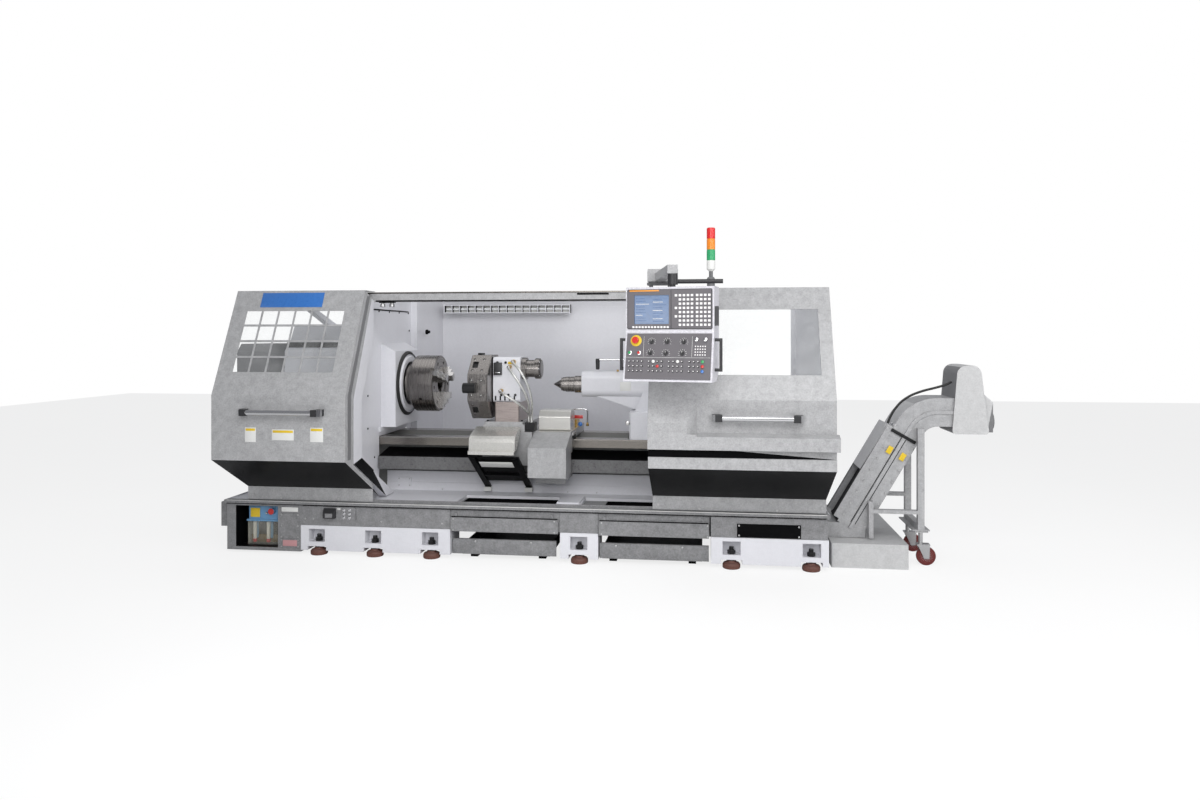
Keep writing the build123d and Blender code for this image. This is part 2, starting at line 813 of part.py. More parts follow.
def chuck_body():
    """Three-jaw chuck body with jaw slots, key sockets and face recess."""
    face = chuck_face_x()
    back, outer, bore = chuck_back_x, chuck_radius, chuck_bore_radius
    profile = [(back, bore), (back, outer - 22), (back + 16, outer - 4), (back + 20, outer),
               (face - 6, outer), (face, outer - 6), (face, 122), (face - 5, 118), (face - 5, bore + 8),
               (face - 9, bore)]
    body = turned_x(profile, spindle_y, spindle_z)
    for turn in jaw_turns():
        half = jaw_width / 2 + jaw_clearance
        body -= radial_block(half, (bore - 20, outer + 5), (face - jaw_slot_depth, face + 5), turn)
        socket = Pos(0, spindle_y, spindle_z) * Rot(turn + 60, 0, 0)
        body -= socket * rod_z(chuck_back_x + 92, 0, (chuck_radius - 40, chuck_radius + 5), 15)
        for side in (-1, 1):
            seat = Pos(0, spindle_y, spindle_z) * Rot(turn + 60 + 24 * side, 0, 0)
            body -= seat * rod_x((face - 14, face + 1), 0, 165, 13)
    return body


def chuck_jaw(turn):
    """Stepped jaw in its slot."""
    face = chuck_face_x()
    r0, r1 = jaw_inner, jaw_inner + jaw_length
    low = face - jaw_slot_depth + jaw_clearance
    step = jaw_length / 3
    rise = jaw_reach / 3
    middle, top = r1 - 0.8 * step, r1 - 1.8 * step
    outline = [(low, r0), (low, r1), (face + rise, r1), (face + rise, middle), (face + 2 * rise, middle),
               (face + 2 * rise, top), (face + jaw_reach, top), (face + jaw_reach, r0 + 6),
               (face + jaw_reach - 6, r0)]
    jaw = prism_y(outline, (-jaw_width / 2, jaw_width / 2))
    for radius in (r1 - step * 0.45, r1 - step * 1.35):
        jaw -= rod_x((face + rise - 12, face + jaw_reach + 1), 0, radius, 9)
    return Pos(0, spindle_y, spindle_z) * Rot(turn, 0, 0) * jaw


def spindle_seal():
    """Black seal ring with its lighter inner flange on the headstock cover."""
    face = wall_x + cover_reach
    profile = [(face, seal_bore_radius), (face, seal_outer_radius), (face + 8, seal_outer_radius),
               (face + seal_thickness, seal_outer_radius - 10), (face + seal_thickness, seal_inner_radius),
               (face + 10, seal_inner_radius), (face + 10, 214), (face + 26, 200),
               (face + 26, seal_bore_radius)]
    return turned_x(profile, spindle_y, spindle_z)


def jamb_wall_outline():
    """Y-Z outline of the side walls: the inner edge of the jambs, closed at the tray and at the back."""
    inner = jamb_outline()[4:]
    low_point, fold_point, crease_point, top_point = inner[:4]
    fall = (low_point[0] - fold_point[0]) / (fold_point[1] - low_point[1])
    slope_y = fold_point[0] + (fold_point[1] - tray_top) * fall
    rise = (door_top[1] - top_point[1]) / (top_point[1] - crease_point[1])
    top_y = top_point[0] + rise * (top_point[0] - crease_point[0])
    return [(top_y, door_top[1]), crease_point, fold_point, (slope_y, tray_top)]


def door_jamb(x_span):
    """Fixed jamb behind a door's end flange, cut off at the tray and the beam."""
    jamb = prism_x(jamb_outline(), x_span)
    keep = block((x_span[0] - 1, x_span[1] + 1), (-600, beam_y[0] - 1), (tray_top, door_top[1]))
    low_keep = block((x_span[0] - 1, x_span[1] + 1), (-600, tray_wall_y - 10), (tray_top, 1000))
    return (jamb & (keep + low_keep)) - block((0, base_length), (11, 19), (tray_top - 1, tray_top + 21))


def left_wall():
    """Inner left wall with the headstock cover, the rear step and the left jamb."""
    outline = jamb_wall_outline()
    wall = prism_x(outline + [(rear_step_y, tray_top), (rear_step_y, door_top[1])], (wall_x - sheet, wall_x))
    cut = (wall_x - 9, wall_x + 9)
    wall -= block(cut, (way_front_y - 8, way_rear_y + 8), (tray_top - 1, way_top + 6))
    wall -= block(cut, (beam_y[0] - 2, beam_y[1] + 2), (beam_z[0] - 2, door_top[1] + 1))
    step = [(wall_x - sheet, rear_step_y), (rear_panel_x[0], rear_step_y), (rear_panel_x[1], back_wall_y)]
    rear = prism_z(folded(step, sheet), (tray_top, door_top[1]))
    face = wall_x + cover_reach
    front, back = cover_front_y, 2 * spindle_y - cover_front_y
    shell = prism_y([(wall_x, cover_bottom), (face, cover_bottom), (face, cover_top_outer),
                     (wall_x, cover_top_inner)], (front, back))
    hollow = prism_y([(wall_x - 9, cover_bottom + sheet), (face - sheet, cover_bottom + sheet),
                      (face - sheet, cover_top_outer - sheet), (wall_x - 9, cover_top_inner - sheet)],
                     (front + sheet, back - sheet))
    hole = rod_x((wall_x - 9, face + 9), spindle_y, spindle_z, seal_bore_radius)
    flange = prism_x([(front - 40, cover_bottom - 34), (front - 40, cover_bottom), (back + 40, cover_bottom),
                      (back + 40, cover_bottom - 34)], (wall_x, wall_x + 12))
    inner = jamb_outline()[4:8]
    link = prism_x(inner + [(y + 20, z) for y, z in inner][::-1], (wall_x - sheet, left_door_span[1]))
    link &= block((0, base_length), (-600, beam_y[0] - 1), (tray_top, door_top[1]))
    jamb = door_jamb((wall_x + 53, left_door_span[1]))
    return (wall + rear + shell + flange - hollow - hole) + jamb + link


def right_end_wall():
    """Right end wall with its jamb and a folded rear edge."""
    outline = jamb_wall_outline()
    x = end_wall_x
    wall = prism_x(outline + [(back_wall_y, tray_top), (back_wall_y, door_top[1])], (x, x + sheet))
    wall -= block((x - 9, x + 9), (beam_y[0] - 2, beam_y[1] + 2), (beam_z[0] - 2, door_top[1] + 1))
    return wall + door_jamb((x, x + 16))


def back_wall():
    """Rear splash wall: four panels with seams round the access opening, a hem and a backing plate."""
    left, right = rear_panel_x[1], end_wall_x
    y_span = (back_wall_y, back_wall_y + back_wall_sheet)
    low, high = access_levels
    seam = back_wall_seam
    bottom = block((left, right), y_span, (tray_top, low))
    top = block((left, right), y_span, (high, door_top[1]))
    top += block((left + 6, right), (back_wall_y - 26, back_wall_y), (door_top[1] - sheet, door_top[1]))
    middle = (low + seam, high - seam)
    left_panel = block((left, access_span[0]), y_span, middle)
    right_panel = block((access_span[1], right), y_span, middle)
    plate = block(backing_span, (back_wall_y - sheet, back_wall_y), (tray_top + 60, low - 10))
    return Compound(children=[bottom + plate, top, left_panel, right_panel])


def top_beam():
    """Front beam with the door rail, the pendant pivot box and its feet."""
    beam = block((left_door_span[0] - 20, base_length + 8), beam_y, beam_z)
    rail_y = beam_y[0] + 16
    beam += rod_x((left_door_span[0] - 20, base_length + 8), rail_y, beam_z[1] + door_rail_radius,
                  door_rail_radius)
    beam += block((left_door_span[0] - 20, base_length + 8), (rail_y - 3, rail_y + 3),
                  (beam_z[1] - 1, beam_z[1] + 3))
    px, py = arm_pivot
    for dx in (-62, 62):
        beam += rod_z(px + dx, beam_y[1] - 24, (beam_z[1] - 1, arm_bottom - 14), 13)
    beam += block((px - 88, px + 88), (beam_y[0] + 36, beam_y[1] + 40), (arm_bottom - 20, arm_bottom - 4))
    beam += rod_z(px, py + 14, (arm_bottom - 5, arm_top - 20), 22)
    return beam


def work_lamp():
    """Louvred lamp housing on brackets from the back wall."""
    body = block(lamp_span, lamp_y, lamp_levels)
    pitch = (lamp_span[1] - lamp_span[0] - lamp_rib) / lamp_cells
    for index in range(lamp_cells):
        x0 = lamp_span[0] + lamp_rib + index * pitch
        cell_z = (lamp_levels[0] + lamp_rib, lamp_levels[1] - lamp_rib)
        body -= block((x0, x0 + pitch - lamp_rib), (lamp_y[0] - 1, lamp_y[1] - 14), cell_z)
    for x in (lamp_span[0] + 60, lamp_span[1] - 100):
        body += block((x, x + 40), (lamp_y[1], back_wall_y), (lamp_levels[0] + 12, lamp_levels[1] - 12))
    return body


def coolant_tank(span):
    """Open coolant tank that slides out of a bay on two skids."""
    x0, x1 = span
    y0, y1 = tank_front_y, tank_front_y + tank_length
    tank = block((x0, x1), (y0, y1), (tank_floor, tank_top))
    wall = tank_wall
    tank -= block((x0 + wall, x1 - wall), (y0 + wall, y1 - wall), (tank_floor + wall, tank_top + 1))
    for x in (x0 + 40, x1 - 40 - skid_width):
        tank += block((x, x + skid_width), (y0 + 60, y1 - 60), (0, tank_floor))
    return tank


def carriage():
    """Saddle on the ways with its apron and the capped drive on its right."""
    inner_front = way_front_y - saddle_side_clearance
    inner_rear = way_rear_y + saddle_side_clearance
    under = way_top + saddle_gap
    outline = [(apron_y[1], way_top - saddle_skirt), (inner_front, way_top - saddle_skirt),
               (inner_front, under), (inner_rear, under), (inner_rear, way_top - saddle_skirt),
               (inner_rear + 24, way_top - saddle_skirt), (inner_rear + 24, saddle_top),
               (apron_y[1], saddle_top)]
    saddle = prism_x(outline, (saddle_left, saddle_right))
    saddle += block(apron_span, apron_y, (apron_bottom, saddle_top))
    top = saddle_top
    cap = prism_x([(way_front_y, top), (way_front_y, top + 100), (way_front_y + 30, top + 144),
                   (way_front_y + 190, top + 144), (way_front_y + 206, top)],
                  (apron_cover_left + 22, saddle_right - 14))
    manifold = block((saddle_right - 44, saddle_right - 2), (way_front_y + 240, way_front_y + 360),
                     (top, top + 60))
    return saddle + fillet(cap.edges().filter_by(Axis.X), 14) + manifold


def apron_cover():
    """Grey cover over the apron drive."""
    y0, y1 = apron_cover_front_y, apron_y[1]
    return prism_x([(y0, apron_cover_bottom), (y0, apron_cover_shoulder), (y1 - 5, apron_cover_top),
                    (y1, apron_cover_top), (y1, apron_cover_bottom)], (apron_cover_left, saddle_right))


def nut_arm():
    """Arm under the screw cover, with the nut's seat below the feed screw and a skirt plate."""
    low, high = nut_arm_levels
    web_x = (apron_cover_left + 12, saddle_right - 14)
    front = apron_y[0] + 10
    arm = block(web_x, (front, nut_arm_rear_y), nut_arm_levels)
    arm += block(web_x, (front, apron_y[1]), (low, apron_cover_bottom))
    arm += block((apron_span[0] + 40, web_x[0] + 1), (nut_arm_rear_y - 100, nut_arm_rear_y), nut_arm_levels)
    middle = (apron_span[0] + apron_span[1]) / 2
    seat_y = (screw_y - 30, screw_y + 30)
    arm += block((middle - 50, middle + 50), seat_y, (high, screw_z - screw_radius - nut_gap))
    skirt = block((web_x[0], web_x[1] - 24), (apron_y[1], apron_y[1] + sheet), (low - 36, low))
    return arm + skirt


def guard_path():
    """Line of the sloping chip guard under the cross slide's cover."""
    return (guard_top_point, guard_bottom_point)


def part_of(line, start, end):
    """The part of a two-point line between two shares of its length."""
    (y0, z0), (y1, z1) = line
    return [(y0 + share * (y1 - y0), z0 + share * (z1 - z0)) for share in (start, end)]


def chip_guard():
    """Sloping chip guard: two legs, a sheet between them, a stiffener and two shoes."""
    left = slide_cover_span[0] + 8
    right = guard_right_x
    legs = folded(guard_path(), 14)
    guard = prism_x(legs, (left, left + guard_leg_width)) + prism_x(legs, (right - guard_leg_width, right))
    inner = offset_path(guard_path(), [14])
    guard += prism_x(folded(part_of(inner, 0.02, 0.80), sheet), (left, right))
    bar = part_of(offset_path(guard_path(), [2]), 0.56, 0.60)
    guard += prism_x(folded(bar, 14), (left, right))
    foot_y = guard_bottom_point[0]
    for x in (left, right - guard_leg_width):
        guard += block((x - 6, x + guard_leg_width + 6), (foot_y - 34, foot_y - 2),
                       (tray_top + 4, tray_top + 34))
    hang = offset_path(guard_path(), [14 + sheet])
    for x in (apron_span[0] + 30, slide_cover_span[1] - 24):
        y_at = (apron_y[0] + apron_y[1]) / 2
        t = (y_at - hang[0][0]) / (hang[1][0] - hang[0][0])
        z_at = hang[0][1] + t * (hang[1][1] - hang[0][1])
        guard += block((x, x + 20), (y_at - 10, y_at + 10), (z_at - 12, apron_bottom))
    return guard


def cross_slide():
    """Cross slide with the turret's base flange and steel riser."""
    x0, x1 = slide_span
    low = saddle_top + saddle_gap
    body = prism_y([(x0, low), (x0, slide_top), (x1, slide_top), (x1, low)], (slide_front_y, slide_rear_y))
    flange = block((x0 + 11, x1 - 14), (slide_front_y, 640), (slide_top, flange_top))
    riser = block(riser_span, (slide_front_y + 4, 600), (flange_top, housing_z[0]))
    riser = chamfer(riser.edges().filter_by(Axis.Z), 5)
    manifold = block((x1, x1 + 70), (slide_front_y + 10, 400), (low + 6, low + 66))
    return body + flange + riser + manifold


def slide_cover():
    """Bright way cover that overhangs the front of the cross slide."""
    y0, z0 = slide_cover_front_y, slide_cover_bottom
    rear = slide_front_y
    high = slide_top - 15
    path = [(rear - 2, high), (y0 + 62, high - 34), (y0 + 26, high - 46), (y0 + 7, high - 64),
            (y0, high - 88), (y0, z0), (y0 - 26, z0), (y0 - 26, z0 - slide_cover_lip),
            (y0 - 2, z0 - slide_cover_lip)]
    skin = prism_x(folded(path, 5), slide_cover_span)
    side = [(rear, high)] + path[1:6] + [(y0 + 60, z0), (rear - 10, saddle_top + 4), (rear, saddle_top + 4)]
    for x in (slide_cover_span[0], slide_cover_span[1] - 4):
        skin += prism_x(side, (x, x + 4))
    link = block((slide_span[0] + 20, slide_cover_span[1] - 20), (rear - 30, rear), (high - 30, high - 6))
    return skin + link


def turret_housing():
    """Turret housing with its indexing drive, coolant union and hose fittings."""
    body = block((turret_left + turret_width + turret_gap, housing_right), housing_y, housing_z)
    body = fillet(body.edges().filter_by(Axis.X), 26)
    shaft_left = turret_left + turret_width - 60
    body += rod_x((shaft_left, body.bounding_box().min.X + 1), turret_y, spindle_z, turret_shaft_radius)
    x = housing_right
    drive = [(x - 1, 0), (x - 1, 78), (x + 34, 78), (x + 34, 62), (x + 96, 62), (x + 96, 74),
             (x + 128, 74), (x + 140, 60), (x + 140, 0)]
    body += turned_x(drive, turret_y, drive_level)
    for x, z in zip(hose_start_x, hose_start_z):
        body += rod_y(x, (housing_y[0] - 14, housing_y[0] + 4), z, 13)
    return body


def turret_disc():
    """Eight-station tool disc with a slot across each flat."""
    x0, x1 = turret_left, turret_left + turret_width
    plane = Plane(origin=(x0, 0, 0), x_dir=(0, 1, 0), z_dir=(1, 0, 0))
    face = Rot(0, 0, 180 / turret_stations) * RegularPolygon(turret_apothem, turret_stations,
                                                             major_radius=False)
    disc = extrude(plane * face, turret_width)
    disc = chamfer(disc.edges().filter_by(Axis.X, reverse=True), 5)
    for index in range(turret_stations):
        turn = Rot(360 / turret_stations * index, 0, 0)
        disc -= turn * block((x0 + 22, x0 + 62), (-30, 30), (turret_apothem - 12, turret_apothem + 9))
        for dy in (-52, 52):
            disc -= turn * rod_z(x0 + 96, dy, (turret_apothem - 14, turret_apothem + 9), 9)
            disc -= turn * rod_z(x0 + 28, dy, (turret_apothem - 14, turret_apothem + 9), 9)
    disc -= rod_x((x1 - 61, x1 + 1), 0, 0, turret_shaft_radius + running_clearance)
    hub = turned_x([(x0 - 12, 0), (x0 - 12, 62), (x0 - 4, 70), (x0 + 1, 70), (x0 + 1, 0)], 0, 0)
    return Pos(0, turret_y, spindle_z) * (disc + hub)


def station(turn):
    """Place at a turret station, turned about the turret's axis from straight up."""
    return Pos(0, turret_y, spindle_z) * Rot(turn, 0, 0)


def boring_holder():
    """Boring bar holder on the station that faces the doors, with its bar."""
    x0 = turret_left
    seat = block((x0 + 24, x0 + 60), (-28, 28), (turret_apothem - 11.5, turret_apothem + 8))
    barrel = rod_x((x0 - 22, x0 + 66), 0, turret_apothem + 20, 36)
    barrel -= block((x0 - 30, x0 + 80), (-50, 50), (turret_apothem - 60, turret_apothem + 0.3))
    return station(90) * (seat + barrel)


def turning_tool():
    """Turning tool in the station that faces the spindle axis."""
    x0 = turret_left
    seat = block((x0 + 24, x0 + 60), (-28, 28), (turret_apothem - 11.5, turret_apothem + 18))
    foot = turret_apothem + 0.3
    shank = prism_y([(x0 + 2, foot), (x0 + 44, foot), (x0 + 44, tool_reach - 20), (x0 + 20, tool_reach - 6),
                     (x0 - 8, tool_reach), (x0 - 12, tool_reach - 8), (x0 + 2, tool_reach - 30)], (-16, 16))
    return station(-90) * (seat + shank)


def tool_holders():
    """The tools carried by the turret."""
    levels = (turret_apothem - 11.5, turret_apothem + 14)
    spare = station(0) * block((turret_left + 24, turret_left + 60), (-28, 28), levels)
    return Compound(children=[boring_holder(), turning_tool(), spare])


def turret_hoses():
    """Braided hoses from the turret's fittings down to the block beside the cross slide."""
    start = housing_y[0] - 14.3
    low = saddle_top + saddle_gap + 66.3
    long_hose = [(1990, start, 1338), (1990, start - 60, 1338), (2046, start - 96, 1296),
                 (2096, start - 94, 1216), (2124, start - 70, 1130), (2130, start - 34, 1050),
                 (2122, start + 8, 984), (2112, start + 34, 950), (2112, start + 34, low)]
    middle_hose = [(1962, start, 1300), (1962, start - 56, 1300), (2008, start - 84, 1250),
                   (2056, start - 76, 1180), (2088, start - 46, 1110), (2102, start - 6, 1040),
                   (2096, start + 36, 984), (2088, start + 58, 950), (2088, start + 58, low)]
    low_hose = [(1900, start, 1130), (1900, start - 50, 1130), (1950, start - 76, 1102),
                (2010, start - 60, 1064), (2058, start - 20, 1020), (2084, start + 34, 976),
                (2090, start + 84, 950), (2090, start + 84, low)]
    hoses = []
    for points in (long_hose, middle_hose, low_hose):
        hoses.append(tube_along(points, hose_radius))
    return Compound(children=hoses)


def tailstock():
    """Tailstock casting: quill housing, gusset, column and base over the ways."""
    y0, y1 = tail_y
    z0, z1 = tail_z
    housing = block((tail_left, tail_right), tail_y, tail_z)
    housing = fillet(housing.edges().filter_by(Axis.X), 52)
    base_left, base_right = tail_base_span
    gusset = prism_y([(tail_left + 60, z0 + 20), (base_left + 60, tail_base_top),
                      (tail_right, tail_base_top),
                      (tail_right, z0 + 20)], (y0 + 30, y1 - 30))
    column = prism_y([(base_left + 30, tail_base_top - 1), (base_left + 90, z0 + 40),
                      (tail_right - 10, z0 + 40),
                      (base_right - 120, tail_base_top - 1)], (y0 - 10, y1 + 30))
    base = block(tail_base_span, tail_base_y, (way_top + saddle_gap, tail_base_top))
    base = chamfer(base.edges().filter_by(Axis.Z), 12)
    tail = housing + gusset + column + base
    tail += rod_z(lever_pivot_x, lever_y, (z1 - 30, lever_level - 12), 12)
    bore_x = (tail_left - 1, tail_left + quill_length + 40)
    return tail - rod_x(bore_x, spindle_y, spindle_z, quill_radius + running_clearance)


def quill():
    """Quill with its front collar, bored for the live centre."""
    face = tail_left - collar_length
    shank = centre_shank_radius + running_clearance
    rear = tail_left + quill_length
    profile = [(face, shank), (face, collar_radius - 3), (face + 3, collar_radius),
               (tail_left - 4, collar_radius), (tail_left - 4, quill_radius), (rear, quill_radius),
               (rear, 0), (face + 141, 0), (face + 141, shank)]
    return turned_x(profile, spindle_y, spindle_z)


def live_centre():
    """Live centre: point, grooved body and shank in the quill."""
    face = tail_left - collar_length
    body_right = face - 1
    body_left = body_right - centre_body_length + 8
    tip = body_left - centre_cone_length
    r = centre_body_radius
    x = body_left
    profile = [(tip, 0), (x, centre_cone_radius * 0.78), (x, centre_cone_radius),
               (x + 14, centre_cone_radius), (x + 14, r - 4), (x + 34, r - 4), (x + 34, r), (x + 62, r),
               (x + 62, r - 5), (x + 68, r - 5), (x + 68, r), (body_right, r),
               (body_right, centre_shank_radius), (face + 140, centre_shank_radius), (face + 140, 0)]
    return turned_x(profile, spindle_y, spindle_z)


def clamp_lever():
    """Quill clamp lever: hub on the tailstock's stud, arm and hanging grip."""
    hub = rod_z(lever_pivot_x, lever_y, (tail_z[1] + 4, lever_level + 8), 19)
    hub -= rod_z(lever_pivot_x, lever_y, (tail_z[1], lever_level - 11.9), 12 + running_clearance)
    end = lever_pivot_x - lever_arm
    arm = rod_x((end, lever_pivot_x), lever_y, lever_level - 3, 8)
    grip = turned_z([(0, lever_level + 5), (15, lever_level + 5), (16, lever_level - 10),
                     (14, lever_level - 70),
                     (10, lever_level - 76), (0, lever_level - 76)], end, lever_y)
    return hub + arm + grip


def pendant_turned(shape):
    """Carry a shape from the pendant's own frame to its place on the machine."""
    return Pos(pendant_x, pendant_y, 0) * Rot(0, 0, pendant_turn) * shape


lean_angle = math.degrees(math.atan2(pendant_lean, pendant_joint_z - pendant_bottom))


def console_place(x, level, lift=0.0):
    """Frame on the leaning operator panel, with local Z pointing out of it."""
    y = pendant_front - pendant_lean * (pendant_joint_z - level) / (pendant_joint_z - pendant_bottom)
    return Pos(x, y, level) * Rot(90 - lean_angle, 0, 0) * Pos(0, 0, lift)


def pendant_housing():
    """Pendant housing with its side handles."""
    outline = [(pendant_front, pendant_joint_z), (pendant_front, pendant_top), (pendant_back, pendant_top),
               (pendant_back, pendant_bottom + 60), (pendant_back - 70, pendant_bottom),
               (pendant_front - pendant_lean, pendant_bottom)]
    body = prism_x(outline, (-pendant_half_width, pendant_half_width))
    body = fillet(body.edges().filter_by(Axis.X).group_by(Axis.Z)[-1], 8)
    window = (display_levels[0] - 6, display_levels[1] + 6)
    body -= block((display_span[0] - 4, display_span[1] + 4), (pendant_front - 1, pendant_front + 14),
                  window)
    for side in (-1, 1):
        x0 = side * (pendant_half_width - 1)
        x1 = side * (pendant_half_width + 34)
        for level in (1330.0, 1500.0):
            body += rod_x(sorted((x0, x1)), -60, level, 9)
        body += rod_z(side * (pendant_half_width + 34), -60, (1321, 1509), 9)
        if side == 1:
            body += block((x0, x0 + 22), (-70, -50), (1580, 1690))
    body += rod_z(0, 0, (pendant_top - 1, arm_bottom - 44), 16)
    for place, radius in ((stop_place, 12), (green_place, 8), (red_place, 8)):
        body -= console_place(*place) * Cylinder(radius + 0.4, 60)
    return pendant_turned(body)


def control_unit():
    """Bezel of the display and keyboard, with soft keys and the key field."""
    half = pendant_half_width - 10
    plate = block((-half, half), (pendant_front - 7, pendant_front),
                  (pendant_joint_z + 12, pendant_top - 14))
    plate = chamfer(plate.edges().filter_by(Axis.Y), 6)
    plate -= block(display_span, (pendant_front - 8, pendant_front + 1), display_levels)
    soft = None
    for index in range(12):
        x = display_span[0] - 10 + index * 18.6
        key = block((x, x + 12), (pendant_front - 10, pendant_front - 6), (1567, 1578))
        soft = key if soft is None else soft + key
    keys = []
    columns, rows = 9, 8
    pitch_x = (keyboard_span[1] - keyboard_span[0]) / columns
    pitch_z = (keyboard_levels[1] - keyboard_levels[0]) / rows
    for column in range(columns):
        for row in range(rows):
            if column == 0 and row not in (2, 4, 7):
                continue
            gap = 6 if column > 4 else 0
            x = keyboard_span[0] + column * pitch_x + gap
            z = keyboard_levels[0] + row * pitch_z + 5
            keys.append(block((x, x + 14), (pendant_front - 10, pendant_front - 6), (z, z + 13)))
    return pendant_turned(plate + soft + keys)


def display():
    """Display glass set in the bezel."""
    glass = block((display_span[0] - 3, display_span[1] + 3), (pendant_front, pendant_front + 12),
                  (display_levels[0] - 5, display_levels[1] + 5))
    return pendant_turned(glass)


def knob_solid():
    """Pointer knob, standing on the panel with its axis along local Z."""
    skirt = Pos(0, 0, 4.4) * Cylinder(13, 4)
    grip = Pos(0, 0, 12) * Box(8, 24, 12)
    return skirt + fillet(grip.edges().filter_by(Axis.Z), 3)


def operator_panel():
    """Leaning operator panel with its fixed knobs, key switches and push-button fields."""
    height = (pendant_joint_z - pendant_bottom) / math.cos(math.radians(lean_angle))
    middle = (pendant_joint_z + pendant_bottom) / 2
    plate = console_place(0, middle, 2.5) * Box(2 * pendant_half_width - 22, height - 26, 5)
    for place, radius in ((stop_place, 12), (green_place, 8), (red_place, 8)):
        plate -= console_place(*place) * Cylinder(radius + 0.4, 60)
    extras = []
    for place in knob_places:
        extras.append(console_place(*place, 5 - 2.4) * knob_solid())
    for x in (162, 214):
        extras.append(console_place(x, 1500, 9) * Cylinder(9, 9))
    for group in range(4):
        for column in range(4):
            for row in range(3):
                x = -226 + group * 118 + column * 25
                extras.append(console_place(x, 1375 - row * 27, 6) * Cylinder(6.5, 5))
    for column in range(5):
        for row in range(4):
            extras.append(console_place(158 + column * 14, 1462 - row * 16, 5.5) * Box(7, 7, 3))
    return pendant_turned(plate + extras)


def stop_button():
    """Emergency stop: mushroom head on its stem."""
    head = Pos(0, 0, 26) * Cylinder(20, 12)
    head = fillet(head.edges().group_by(Axis.Z)[-1], 5)
    stem = Pos(0, 0, 5) * Cylinder(12, 32)
    return pendant_turned(console_place(*stop_place) * (head + stem))


def push_button(place):
    """Round push button."""
    cap = Pos(0, 0, 5) * Cylinder(8, 18)
    return pendant_turned(console_place(*place) * chamfer(cap.edges().group_by(Axis.Z)[-1], 1.2))


def pendant_arm():
    """Swivelling arm from the pivot on the beam out to the pendant, with its cable tube."""
    px, py = arm_pivot
    hub = block((px - 82, px + 82), (py - 62, py + 90), (arm_bottom, arm_top + 14))
    hub = chamfer(hub.edges().filter_by(Axis.X).group_by(Axis.Z)[-1], 26)
    hub -= rod_z(px, py + 14, (arm_bottom - 1, arm_top - 19), 22 + running_clearance)
    beam_outline = [(px - 34, py - 40), (px + 34, py - 40), (pendant_x + 30, pendant_y - 30),
                    (pendant_x - 30, pendant_y - 30)]
    beam = prism_z(beam_outline, (arm_bottom + 4, arm_bottom + 54))
    boss = rod_z(pendant_x, pendant_y, (arm_bottom - 60, arm_bottom + 30), 30)
    tube = rod_x((pendant_x, pendant_x + 290), pendant_y + 26, arm_bottom - 40, 13)
    link = block((pendant_x - 16, pendant_x + 16), (pendant_y, pendant_y + 26),
                 (arm_bottom - 54, arm_bottom - 26))
    arm = hub + beam + boss + tube + link
    return arm - rod_z(pendant_x, pendant_y, (arm_bottom - 61, arm_bottom - 43.9), 16 + running_clearance)


def signal_post():
    """Signal tower's foot and pole."""
    x, y = tower_place
    low = beam_z[1]
    high = low + tower_post_height
    r = tower_radius - 2
    return turned_z([(0, low), (r, low), (r, low + 92), (r - 6, low + 100), (13, low + 104), (13, high),
                     (0, high)],
                    x, y)


def signal_lenses():
    """Stack of signal lenses: base module, green, amber and red, with their rings."""
    x, y = tower_place
    base = beam_z[1] + tower_post_height
    r = tower_radius
    stack = []
    for index in range(4):
        z0 = base + index * lens_height
        top = z0 + lens_height
        foot = r - 14 if index == 0 else r
        profile = [(0, z0), (foot, z0), (r, z0 + 14), (r, top - 5), (r - 3, top - 4), (r - 3, top), (0, top)]
        stack.append(turned_z(profile, x, y))
    return Compound(children=stack)


def cabinet_hinge():
    """The hinge line (X, Y) of the cabinet's door, and each end's level with the way it faces."""
    door_face = back_wall_y + back_wall_sheet + cabinet_depth + door_gap + cabinet_door_thickness
    return (cabinet_span[0], door_face), ((cabinet_levels[0], -1), (cabinet_levels[1], 1))


def electrical_cabinet():
    """Electrical cabinet on the back wall, open behind its door, with the door's hinge brackets and pins."""
    y0 = back_wall_y + back_wall_sheet
    y1 = y0 + cabinet_depth
    w = cabinet_wall
    body = block(cabinet_span, (y0, y1), cabinet_levels)
    x0, x1 = cabinet_span
    low, high = cabinet_levels
    body -= block((x0 + w, x1 - w), (y0 + w, y1 + 1), (low + w, high - w))
    for index in range(3):
        z = low + 200 + index * duct_pitch
        body += block((x0 + duct_inset, x1 - duct_inset), (y0 + w, y0 + w + duct_depth),
                      (z, z + duct_height))
    (hinge_x, hinge_y), ends = cabinet_hinge()
    for level, way in ends:
        outer = level + way * (door_gap + hinge_bracket_sheet)
        body += block((x0, x0 + hinge_bracket_width), (y1 - 30, y1), sorted((level, outer)))
        body += block((hinge_x - hinge_radius, x0 + hinge_bracket_width), (y1 - 30, hinge_y + hinge_radius),
                      sorted((level + way * door_gap, outer)))
        body += rod_z(hinge_x, hinge_y, sorted((level - way * hinge_pin_length, outer)), hinge_pin_radius)
    return body


